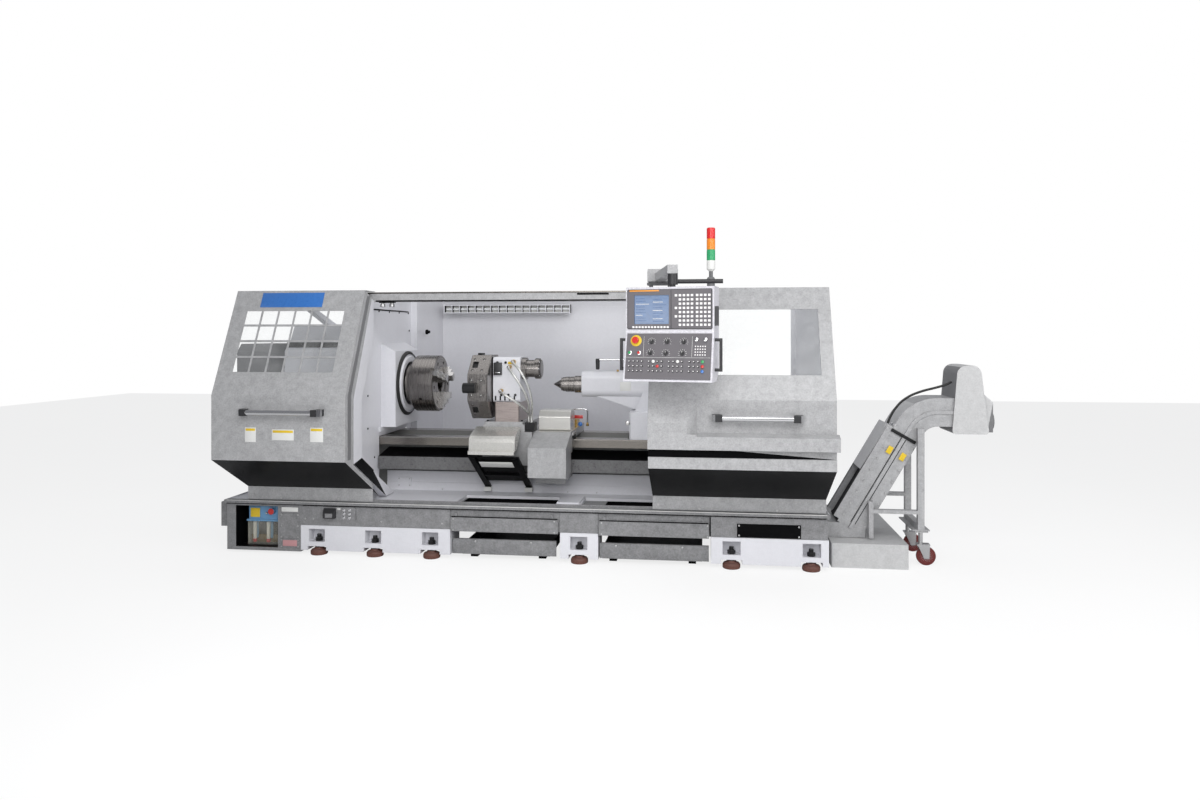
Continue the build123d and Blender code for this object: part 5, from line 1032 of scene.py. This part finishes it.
@dataclass
class WorkArea:
    """Bed, chuck, carriage, turret and tailstock, with sizes in drawing millimetres.

    Attributes:
        turret: Depth and height of the turret's axis.
        turret_reach: Distance from the axis to the disc's flats.
        housing_front: Depth of the turret housing's front.
        way_side: Height where the ways' ground sides start.
        way_top: Height where the ways' ground tops start.
        cover_back: Depth of the screw cover's back.
        cover_top: Height of the screw cover's top.
        cover_edge: Height of the edge between the cover's front and its slope.
        block_front: Depth of the screw's bearing blocks.
        seal_ring: Outer radius of the spindle seal's white ring.
        guard_top: Depth and height of the chip guard's upper end.
        guard_foot: Depth and height of its lower end.
    """

    turret: Span = (390.0, 1157.0)
    turret_reach: float = 225.0
    housing_front: float = 304.0
    way_side: float = 722.0
    way_top: float = 776.0
    cover_back: float = 563.0
    cover_top: float = 690.0
    cover_edge: float = 641.0
    block_front: float = 416.0
    seal_ring: float = 223.0
    guard_top: Span = (62.0, 684.0)
    guard_foot: Span = (528.0, 397.0)

    def dress(self, dresser: Dresser) -> None:
        """Gives the machine's working pieces their finishes."""

        def bed(center: Vector, normal: Vector) -> int:
            if center.z > self.way_top or (center.z > self.way_side and abs(normal.y) > SQUARE):
                return 1
            if center.y >= self.cover_back or center.z >= self.cover_top:
                return 0
            if center.y > self.block_front and center.z < self.cover_edge - 2:
                return 0
            # Faces of the screw cover under the ways, except its front, are black as painted shade.
            return 3 if normal.y < -SQUARE and center.z < self.cover_edge else 2

        def from_axis(center: Vector, axis: Span) -> float:
            return math.hypot(center.y - axis[0], center.z - axis[1])

        def head(center: Vector, normal: Vector) -> int:
            # Faces in the gap between 1432 and 1471 mm are black as painted shade.
            belt_guard, gap = center.x < 105.5, 1432 < center.z < 1471
            return 2 if belt_guard else int(gap)

        def carriage(center: Vector, normal: Vector) -> int:
            above = center.z > 836
            cap = above and center.x > 2140 and center.y < 620
            manifold = above and center.x > 2340 and center.y > 630
            return 1 if cap else (2 if manifold else 0)

        def housing(center: Vector, normal: Vector) -> int:
            drive, fittings = center.x > 2036, center.y < self.housing_front - 1
            return 1 if drive else (2 if fittings else 0)

        def disc(center: Vector, normal: Vector) -> int:
            return abs(normal.x) < 0.5 and from_axis(center, self.turret) < self.turret_reach - 2

        dresser.by_face("bed_casting", ("cast_iron", "ground_steel", "black_paint", "cover_grey_paint"), bed)
        dresser.whole("grey_paint", "nut_arm")
        dresser.whole("ground_steel", "ball_screw")
        dresser.whole("turned_steel", "spindle", "chuck_body", "quill", "live_centre")
        dresser.whole("bright_steel", "chuck_jaw_1", "chuck_jaw_2", "chuck_jaw_3")
        dresser.by_face("spindle_seal", ("rubber", "white_paint"),
                        lambda center, _: from_axis(center, SPINDLE_AXIS) <= self.seal_ring)
        dresser.by_face("headstock", ("white_paint", "black_paint", "dark_grey_paint_and_shade"), head)
        dresser.by_face("carriage", ("grey_paint", "cover_steel", "brass"), carriage)
        dresser.by_face("chip_guard", ("black_paint", "white_field_and_highlight"),
                        lambda center, _: center.z < 412 and center.y > 480)
        dresser.by_face("cross_slide", ("grey_paint", "rose_steel", "black_oxide"),
                        lambda center, _: 2 if center.x > 2067 else (1 if center.z > 910 else 0))
        dresser.whole("cover_steel", "slide_cover")
        dresser.by_face("turret_housing", ("white_paint", "turned_steel", "brass"), housing)
        dresser.by_face("turret_disc", ("turned_steel", "black_oxide"), disc)
        dresser.whole("black_oxide", "tool_holders")
        dresser.whole("hose", "turret_hoses")
        dresser.whole("white_paint", "tailstock")
        dresser.by_face("clamp_lever", ("chrome", "dark_plastic"), lambda center, _: center.x < 2565)

    def build(self) -> None:
        """Adds screws, fittings, the guard's plate, pipes and wipers."""
        face = self.housing_front - 0.5
        places = row(Way.FRONT, (1900, face, 1100), (2000, face, 1100), 3)
        places += row(Way.FRONT, (1870, face, 1330), (1930, face, 1330))
        places += row(Way.UP, (1790, 340, 909.5), (2040, 340, 909.5), 4)
        SCREWS.grow("turret_screws", places, "cross_slide", 9, 8, "black_oxide")
        self.tailstock_fittings()
        self.turret_fittings()
        self.guard_plate()
        self.manifold_fittings()
        wipers = Maker("way_wipers", ("rubber", "bright_steel"), "carriage", 0.6)
        for x in (1694, 2394):
            wipers.box((x, x + 6), (396, 534), (781, 806), 0)
            wipers.box((x - 1, x + 7), (398, 532), (806, 826), 1)
        wipers.finish()

    def tailstock_fittings(self) -> None:
        """Wiper, clamp bolt, oiler and blank plate on the tailstock."""
        finishes = ("dark_plastic", "brass", "bright_steel", "white_field_and_highlight")
        maker = Maker("tailstock_fittings", finishes, "tailstock", 0.8)
        maker.box((2794, 2799), (424, 520), (784, 830), 0)
        maker.lathe((2790, 419, 900), Way.FRONT, [(0, 16), (6, 16), (8, 13), (8, 0.5)], 2)
        maker.lathe((2700, 600, 1257), Way.UP, [(0, 8), (10, 8), (14, 5)], 1)
        maker.box((2718, 2798), (588.6, 589.9), (1116, 1181), 3)
        maker.finish()

    def turret_fittings(self) -> None:
        """Connector block, blank label, hose fittings and screws of the turret and its disc."""
        front, hub, hub_level = self.housing_front, self.turret[0], 1285
        maker = Maker("turret_fittings", ("dark_plastic", "yellow_field", "brass", "chrome", "black_oxide"),
                      "cross_slide", 0.6)
        maker.box((1848, 1904), (front - 26, front), (1242, 1330), 0)
        maker.box((1946, 2002), (front - 1.2, front), (1318, 1336), 1)
        maker.box((1856, 1896), (front - 30, front - 26), (1256, 1262), 3)
        for index in range(5):
            x = 1852 + index * 34
            maker.box((x, x + 10), (front - 5, front), (1060, 1092), 4)
        nut = [(-8, 15), (0, 15), (2, 13), (18, 13), (20, 11)]
        for x, z in ((1990, 1338), (1962, 1300), (1900, 1130)):
            maker.lathe((x, front - 14.2, z), Way.FRONT, nut, 2, 6)
            maker.lathe((x, front - 34, z), Way.FRONT, [(0, 10.5), (26, 10.5), (28, 9.5)], 3)
        for step in range(8):
            angle = math.radians(45 * step)
            place = (2163, hub + 68 * math.cos(angle), hub_level + 68 * math.sin(angle))
            maker.lathe(place, Way.RIGHT, [(0, 6), (6, 6), (8, 3)], 3, 8)
        maker.finish()
        disc = Maker("turret_clamp_screws", ("bright_steel",), "turret", 0.5)
        reach, half = (self.turret_reach - 14, self.turret_reach - 5), 5
        for step in range(8):
            turn = Matrix.Translation((0, *self.turret)) @ Matrix.Rotation(math.radians(45 * step), 4, "X")
            for x in (1716, 1784):
                for y in (-52, 52):
                    disc.box((x - half, x + half), (y - half, y + half), reach, 0, turn)
        disc.finish()

    def guard_plate(self) -> None:
        """Light plate that hangs in the upper part of the chip guard's frame."""
        start, end, gap, top = 62, 150, 1.0, 3.0
        upper = Vector((0, *self.guard_top))
        along = (Vector((0, *self.guard_foot)) - upper).normalized()
        out = Vector((0, along.z, -along.y))
        corners = ((start, gap), (end, gap), (end, top), (start, top))
        points = [upper + along * down + out * lift for down, lift in corners]
        maker = Maker("guard_plate", ("white_field_and_highlight",), "carriage", 0.5)
        maker.prism([(point.y, point.z) for point in points], (1786, 2020), 0)
        maker.finish()

    def manifold_fittings(self) -> None:
        """Bent pipe, blank red label and valve on the carriage's manifold."""
        maker = Maker("manifold_fittings", ("chrome", "red_plastic", "brass", "blue_paint"), "carriage", 0.6)
        route = ((2352, 842), (2352, 930), (2352, 972), (2380, 976), (2440, 976), (2470, 972), (2470, 930),
                 (2470, 860))
        maker.tube([(x, 640, z) for x, z in route], 6, 0)
        maker.box((2366, 2436), (636, 638), (905, 930), 1)
        maker.lathe((2470, 640, 850), Way.UP, [(0, 12), (14, 12), (16, 9), (26, 9)], 2, 6)
        maker.lathe((2420, 628, 866), Way.FRONT, [(0, 8), (6, 16), (22, 16), (26, 10)], 3)
        maker.finish()


@dataclass
class Base:
    """Base, feet, cabinet and tray, with sizes in drawing millimetres.

    Attributes:
        panel: Left and right end of the socket panel.
        panel_face: Depth of its face.
        chutes: Depths between which the chutes' walls stand.
        tray_edge: Height of the tray rim's top edge.
        ends: Left and right end of the tray's rim.
        tank_bays: Left and right end of each coolant tank's bay.
        blank_plate: Left and right end of the black plate on the right.
    """

    panel: Span = (700.0, 949.0)
    panel_face: float = -5.3
    chutes: Span = (84.0, 401.0)
    tray_edge: float = 371.0
    ends: Span = (6, 4114)
    tank_bays: tuple[tuple[str, Span], ...] = (("coolant_tank_left", (1622, 2343)),
                                               ("coolant_tank_right", (2636, 3361)))
    blank_plate: Span = (3543, 3951)

    def dress(self, dresser: Dresser) -> None:
        """Gives the lower pieces their finishes."""

        def feet(center: Vector, normal: Vector) -> int:
            pad = center.z < 49 or (abs(center.z - 50) < 0.6 and abs(normal.z) > SQUARE)
            return not pad

        def cabinet(center: Vector, normal: Vector) -> int:
            # Faces inside the cabinet's recess are black as painted shade.
            return 65 < center.x < 379 and 42 < center.z < 332 and 0.5 < center.y < 301

        dresser.whole("white_paint", "foot_blocks")
        dresser.by_face("levelling_feet", ("oxide_paint", "black_oxide"), feet)
        dresser.by_face("base_frame", ("shaded_base_grey_paint", "dark_plastic", "black_paint"), self.frame_rule)
        dresser.by_face("left_cabinet", ("shaded_base_grey_paint", "black_paint"), cabinet)
        dresser.whole("pump_paint", "lubrication_pump")
        dresser.whole("oil_plastic", "oil_reservoir")
        dresser.by_face("chip_tray", ("white_paint", "shaded_base_grey_paint", "black_paint"), self.tray_rule)
        # Only a tank's front face is grey; its other faces are black as painted shade inside the bay.
        for name, _ in self.tank_bays:
            dresser.by_face(name, ("shaded_base_grey_paint", "black_paint"),
                            lambda center, normal: not (normal.y < -SQUARE and center.y < 41))
        dresser.whole("white_paint", "electrical_cabinet", "cabinet_door")

    def frame_rule(self, center: Vector, normal: Vector) -> int:
        """Socket panel with dark edges and sockets, chute walls black as painted shade, the rest grey."""
        if center.y < -0.5 and self.panel[0] < center.x < self.panel[1] and center.z > 240:
            if center.y < self.panel_face:
                return 1
            return 0 if normal.y < -SQUARE and center.y > self.panel_face else 2
        # Chute walls: black as painted shade inside the chutes.
        return 2 if self.chutes[0] < center.y < self.chutes[1] and abs(normal.z) < 0.1 else 0

    def tray_rule(self, center: Vector, normal: Vector) -> int:
        """Grey outer rim, white inside."""
        return center.y < 25 and (abs(normal.y) > 0.8 or center.z > self.tray_edge)

    def build(self) -> None:
        """Adds the tank bays' fronts, blank plates, painted shade lines, a painted highlight, screws and
        small fittings.
        """
        for name, bay in self.tank_bays:
            self.tank_front(name, bay)
        self.plates()
        self.oil_unit()
        self.sockets()
        self.tray_screws()
        left, right = self.blank_plate
        places = []
        for level in (222, 286):
            places += row(Way.FRONT, (left + 13, -3, level), (right - 13, -3, level))
        for x in (406, 527):
            places += row(Way.FRONT, (x, -3, 53), (x, -3, 99))
            places += row(Way.FRONT, (x, -3, 119), (x, -3, 275), 3)
        for x in (1640, 2336, 2654, 3353):
            places += row(Way.FRONT, (x, -6, 279), (x, -6, 205))
        places += row(Way.FRONT, (580, 0, 250), (640, 0, 250))
        places += row(Way.FRONT, (1130, 0, 244), (1560, 0, 244))
        SCREWS.grow("base_screws", places, "machine", 6, 3, "zinc_screw")

    def tank_front(self, name: str, bay: Span) -> None:
        """Adds the folded plate that closes a coolant tank's bay.

        Args:
            name: Name of the tank's node.
            bay: Left and right end of the plate.
        """
        low, high = DATUM.corners(name)
        face, bottom, fold, top = low.y - 4, 34, 132, 136
        maker = Maker(name + "_front", ("shaded_base_grey_paint", "zinc_screw"), name, 1.0)
        maker.box(bay, (face, low.y - 0.2), (bottom, fold), 0)
        maker.box(bay, (face, low.y + 16), (fold, top), 0)
        for x in (low.x + 90, high.x - 130):
            maker.lathe((x, face, 120), Way.FRONT, [(0, 8), (4, 8), (6, 5)], 1, 12)
        maker.finish()

    def plates(self) -> None:
        """Bare plates on the base, painted shade lines under the tray's rim and along the bays, and a
        painted highlight on the rim's top edge.
        """
        finishes = ("black_paint", "white_field_and_highlight", "zinc_screw", "pink_field")
        maker = Maker("base_plates", finishes, "machine", 0.4)
        plate, label, line = (-3, 0), (-4.6, -3.2), (-1.4, -0.1)
        maker.box(self.blank_plate, plate, (210, 298), 0)
        maker.box((407, 527), label, (296, 326), 1)
        maker.box((416, 520), label, (56, 98), 3)
        # Painted shadow under the tray's rim.
        maker.box((560, 4108), line, (338.5, 344.8), 0)
        # Painted highlight on the rim's top edge.
        maker.box(self.ends, (-20.8, -20.1), (367.5, 371.8), 1)
        # Painted shade at the rim's lower edge.
        maker.box(self.ends, (-20.6, -20.1), (345.5, 350.5), 0)
        # Painted shade lines at the bays' upper edges and beside the right bay.
        for bay in ((1626, 2356), (2640, 3357)):
            maker.box(bay, line, (289.5, 296), 0)
        maker.box((3366, 3372), line, (208, 336), 0)
        maker.finish()

    def oil_unit(self) -> None:
        """Oil, float tubes, label field, gauge and nut of the lubrication unit."""
        finishes = ("dark_oil", "white_field_and_highlight", "red_plastic", "yellow_field", "chrome")
        maker = Maker("lubrication_fittings", finishes, "machine", 0.5)
        maker.box((122, 340), (108, 196), (50, 104), 0)
        for x in (158, 260):
            maker.lathe((x, 90, 50), Way.UP, [(30, 13), (150, 13)], 1)
            maker.lathe((x, 90, 50), Way.UP, [(6, 13.5), (30, 13.5)], 2)
        maker.box((142, 212), (58.4, 59.9), (238, 302), 3)
        maker.lathe((302, 44, 282), Way.FRONT, [(0, 22), (2, 22), (3, 18), (3.4, 2)], 2)
        maker.lathe((264, 62, 268), Way.FRONT, [(0, 9), (9, 9), (12, 6)], 4, 6)
        maker.finish()

    def sockets(self) -> None:
        """Socket rings, rocker and small label of the panel on the base's front."""
        maker = Maker("socket_fittings", ("chrome", "shaded_base_grey_paint", "white_field_and_highlight"), "machine", 0.4)
        for x in (862, 902):
            for z in (264, 290, 316):
                maker.lathe((x, -5, z), Way.FRONT, [(0, 11), (2, 11), (3, 9.4), (3.2, 4)], 0, 16)
        maker.box((738, 790), (-36, -34), (268, 296), 1)
        maker.box((812, 838), (-6, -5), (318, 330), 2)
        maker.finish()

    def tray_screws(self) -> None:
        """Screws of the tray's plate and of its three lugs."""
        back, places = 534, []
        for x in (1056, 1139):
            places += row(Way.FRONT, (x, back, 399), (x, back, 449))
        places += spots(Way.FRONT, *((x, back, 376) for x in (1392, 2339, 2553)))
        SCREWS.grow("tray_screws", places, "machine", 5, 3, "zinc_screw")


@dataclass
class Pendant:
    """Control pendant: screen, keys and operator panel, with sizes in drawing millimetres.

    Attributes:
        pivot: Place of the pendant's swivel.
        turn: Its turn at rest in degrees.
        joint: Height of the joint between the control unit and the leaning panel.
        bottom: Height of the panel's lower edge.
        front: Depth of the panel at the joint, from the swivel.
        lean: How far the panel's lower edge stands in front of its upper edge.
        face: Heights above the panel's frame between which its flat marks lie.
    """

    pivot: Span = (3150.0, -640.0)
    turn: float = -12.0
    joint: float = 1548.0
    bottom: float = 1262.0
    front: float = -80.0
    lean: float = 60.0
    face: Span = (5.02, 5.4)

    def matrix(self) -> Matrix:
        """Returns the matrix from the pendant's own frame to drawing millimetres."""
        return Matrix.Translation((*self.pivot, 0)) @ Matrix.Rotation(math.radians(self.turn), 4, "Z")

    def panel_depth(self, level: float) -> float:
        """Returns the depth of the leaning panel's frame at a height."""
        return self.front - self.lean * (self.joint - level) / (self.joint - self.bottom)

    def console(self, x: float, level: float) -> Matrix:
        """Returns the frame of a place on the leaning panel, with local Z out of it."""
        tilt = math.radians(90) - math.atan2(self.lean, self.joint - self.bottom)
        place = Matrix.Translation((x, self.panel_depth(level), level))
        return self.matrix() @ place @ Matrix.Rotation(tilt, 4, "X")

    def dress(self, dresser: Dresser) -> None:
        """Gives the pendant its finishes."""
        back = self.matrix().inverted()

        def control(center: Vector, normal: Vector) -> int:
            own = back @ center
            if -212 < own.x < 3 and 1584 < own.z < 1763 and -80.5 < own.y < -60:
                return own.y < -79
            return 2 if own.y < -87.1 else 0

        def housing(center: Vector, normal: Vector) -> int:
            own = back @ center
            return abs(own.x) > 261 or own.z > 1805

        def panel(center: Vector, normal: Vector) -> int:
            own = back @ center
            if self.panel_depth(own.z) - own.y < 5.6:
                return 0
            return 2 if own.x > 150 and 1400 < own.z < 1470 else 1

        dresser.by_face("control_unit", ("panel_plastic", "display", "key_plastic_and_glint"), control)
        dresser.by_face("pendant_housing", ("speckled_paint", "dark_plastic"), housing)
        dresser.by_face("operator_panel", ("panel_plastic", "dark_plastic", "key_plastic_and_glint"), panel)
        dresser.whole("red_plastic", "emergency_stop", "red_button")
        dresser.whole("green_plastic", "green_button")
        dresser.by_face("pendant_arm", ("grey_paint", "dark_plastic"), lambda center, _: center.z < 1866)

    def build(self) -> None:
        """Adds the screen's fields, the control unit's trim and the panel's fittings."""
        turn = self.matrix()
        screen = Maker("screen_fields", ("display_ink", "white_field_and_highlight"), "pendant", 0.0)
        glass = (self.front - 0.6, self.front - 0.3)
        random.seed(11)
        for index in range(9):
            z = 1736 - index * 16
            length = random.uniform(30, 84)
            screen.box((-200, -200 + length), glass, (z, z + 3), index % 4 == 2, turn)
            screen.box((-98, -98 + length), glass, (z - 5, z - 2), index % 3 == 1, turn)
        screen.finish()
        trim = Maker("panel_trim", ("dark_plastic", "orange_field", "white_field_and_highlight"), "pendant", 0.4)
        trim.box((-236, -60), (-88.5, -86.9), (1778, 1786), 1, turn)
        for x in (-247, 12, 247):
            trim.box((x - 1.5, x + 1.5), (-88, -86.9), (1566, 1786), 0, turn)
        for z in (1563, 1787):
            trim.box((-247, 247), (-88, -86.9), (z, z + 3), 0, turn)
        trim.finish()
        self.panel_fittings()

    def panel_fittings(self) -> None:
        """Rings, scales, lines, painted glints and coloured caps of the operator panel."""
        finishes = ("yellow_field", "white_field_and_highlight", "chrome", "key_plastic_and_glint", "red_plastic", "green_plastic",
                    "blue_paint", "dark_plastic")
        maker = Maker("panel_fittings", finishes, "pendant", 0.0)
        maker.turned(self.console(-193, 1493), [(5.05, 33), (7, 33), (7.5, 30)], 0, 28)
        for x, z in ((-99, 1487), (-7, 1487), (90, 1487), (-104, 1424), (-13, 1422), (84, 1422)):
            knob = self.console(x, z)
            for step in range(9):
                tick = knob @ Matrix.Rotation(math.radians(-120 + step * 30), 4, "Z")
                maker.box((-1, 1), (19, 25), self.face, 1, tick)
            maker.box((-1.2, 1.2), (2, 11), (20.6, 21.2), 1, knob)
        for x in (162, 214):
            maker.turned(self.console(x, 1500), [(13.6, 12), (16, 12), (17, 10)], 2)
        for x in (-228, -173):
            maker.turned(self.console(x, 1424), [(5.05, 13), (7, 13), (8, 9.5), (8, 8.6)], 2)
        for x in (-146, 138):
            maker.box((-0.8, 0.8), (-58, 62), self.face, 1, self.console(x, 1458))
        maker.box((-246, 246), (-0.8, 0.8), self.face, 1, self.console(0, 1398))
        self.key_glints(maker)
        maker.finish()

    def key_glints(self, maker: Maker) -> None:
        """Painted glints on the round keys, and the caps of the coloured ones by group, column and row."""
        coloured = {(1, 2, 1): 4, (2, 2, 0): 1, (3, 3, 0): 5, (3, 3, 1): 4, (3, 3, 2): 6, (1, 1, 0): 1}
        for key in [(group, column, line) for group in range(4) for column in range(4) for line in range(3)]:
            group, column, line = key
            place = self.console(-226 + group * 118 + column * 25, 1375 - line * 27)
            if key in coloured:
                maker.turned(place, [(8.45, 9), (12, 9), (13, 7)], coloured[key], 16)
            else:
                # Small light bar on each plain key: a painted glint.
                maker.box((-5, 1), (-1.5, 4), (8.4, 9.4), 3, place)


@dataclass
class Conveyor:
    """Chip conveyor, stand, sump and casters, with sizes in drawing millimetres.

    Attributes:
        angle: Slope in degrees.
        foot: Place along the bed and height of the slope's start.
        side: Depth of the conveyor's near side.
        lid_level: Height where its closed lid starts.
        hub_radius: Radius of the wheels' hubs.
    """

    angle: float = 60.0
    foot: Span = (4222.0, 272.0)
    side: float = 290.0
    lid_level: float = 640.0
    hub_radius: float = 30.0

    def slope(self, x: float, y: float, z: float) -> Matrix:
        """Returns the frame at a drawing point whose X runs up the conveyor."""
        return Matrix.Translation((x, y, z)) @ Matrix.Rotation(-math.radians(self.angle), 4, "Y")

    def dress(self, dresser: Dresser) -> None:
        """Gives the conveyor its finishes."""

        def trough(center: Vector, normal: Vector) -> int:
            sloping = abs(normal.y) < 0.5 and abs(normal.x) > 0.5
            # Sloping faces below the lid are black as painted shade in the open trough.
            return (1 if center.z < self.lid_level else 2) if sloping else 0

        def hood(center: Vector, normal: Vector) -> int:
            motor = center.x > 5199 and center.z < 1141
            # The motor is dark grey paint; the left-facing faces are dark grey as painted shade.
            return motor or normal.x < -0.6

        dresser.whole("grey_paint", "conveyor_stand")
        dresser.whole("pale_grey_paint", "conveyor_sump")
        dresser.by_face("conveyor_body", ("grey_paint", "black_paint", "pale_grey_paint"), trough)
        dresser.by_face("conveyor_hood", ("pale_grey_paint", "dark_grey_paint_and_shade"), hood)
        dresser.whole("rubber", "conveyor_cable")
        dresser.whole("zinc_screw", "front_caster_fork", "rear_caster_fork")
        for name in ("front_caster_wheel", "rear_caster_wheel"):
            low, high = DATUM.corners(name)

            def wheel(center: Vector, normal: Vector, hub: Vector = (low + high) / 2) -> int:
                return math.hypot(center.x - hub.x, center.z - hub.z) < self.hub_radius

            dresser.by_face(name, ("wheel_red", "zinc_screw"), wheel)

    def build(self) -> None:
        """Adds bolts along the flanges, two plain yellow plates and the side's painted shade lines, strip
        and eyes.
        """
        near, far, pitch, count = -14, -176, 88, 9
        slope = self.slope(self.foot[0], 0, self.foot[1])
        points = []
        for index in range(count):
            for drop in (near, far) if index < count - 1 else (near,):
                points.append(slope @ Vector((60 + index * pitch, self.side, drop)))
        SCREWS.grow("conveyor_bolts", spots(Way.FRONT, *points), "machine", 7, 5, "zinc_screw")
        plates = Maker("plain_yellow_plates", ("yellow_field",), "machine", 0.4)
        for x, z in ((4562, 757), (4646, 711)):
            plates.box((-26, 26), (0, 1.5), (-17, 17), 0, self.slope(x, 279.4, z))
        plates.finish()
        lines = Maker("conveyor_side_lines", ("black_paint", "chrome", "black_oxide"), "machine", 0.3)
        # Two black lines: painted shade in the recess of the side's rib.
        for drop in ((-82, -77), (-114, -108)):
            lines.box((40, 700), (self.side - 1, self.side - 0.1), drop, 0, slope)
        lines.box((704, 726), (280, self.side - 0.1), (-172, 4), 2, slope)
        for distance in (690, 742):
            lines.lathe(slope @ Vector((distance, 318, 8)), Way.FRONT, [(0, 17), (6, 17)], 1, 16)
        lines.finish()


def main() -> None:
    """Dresses every sub-assembly in order and sets up the studio."""
    logging.basicConfig(level=logging.INFO)
    dresser = Dresser()
    for part in (Enclosure(), WorkArea(), Base(), Pendant(), Conveyor()):
        part.dress(dresser)
        part.build()
        LOG.info("built %s", type(part).__name__)
    Studio().build()


if __name__ == "__main__":
    main()
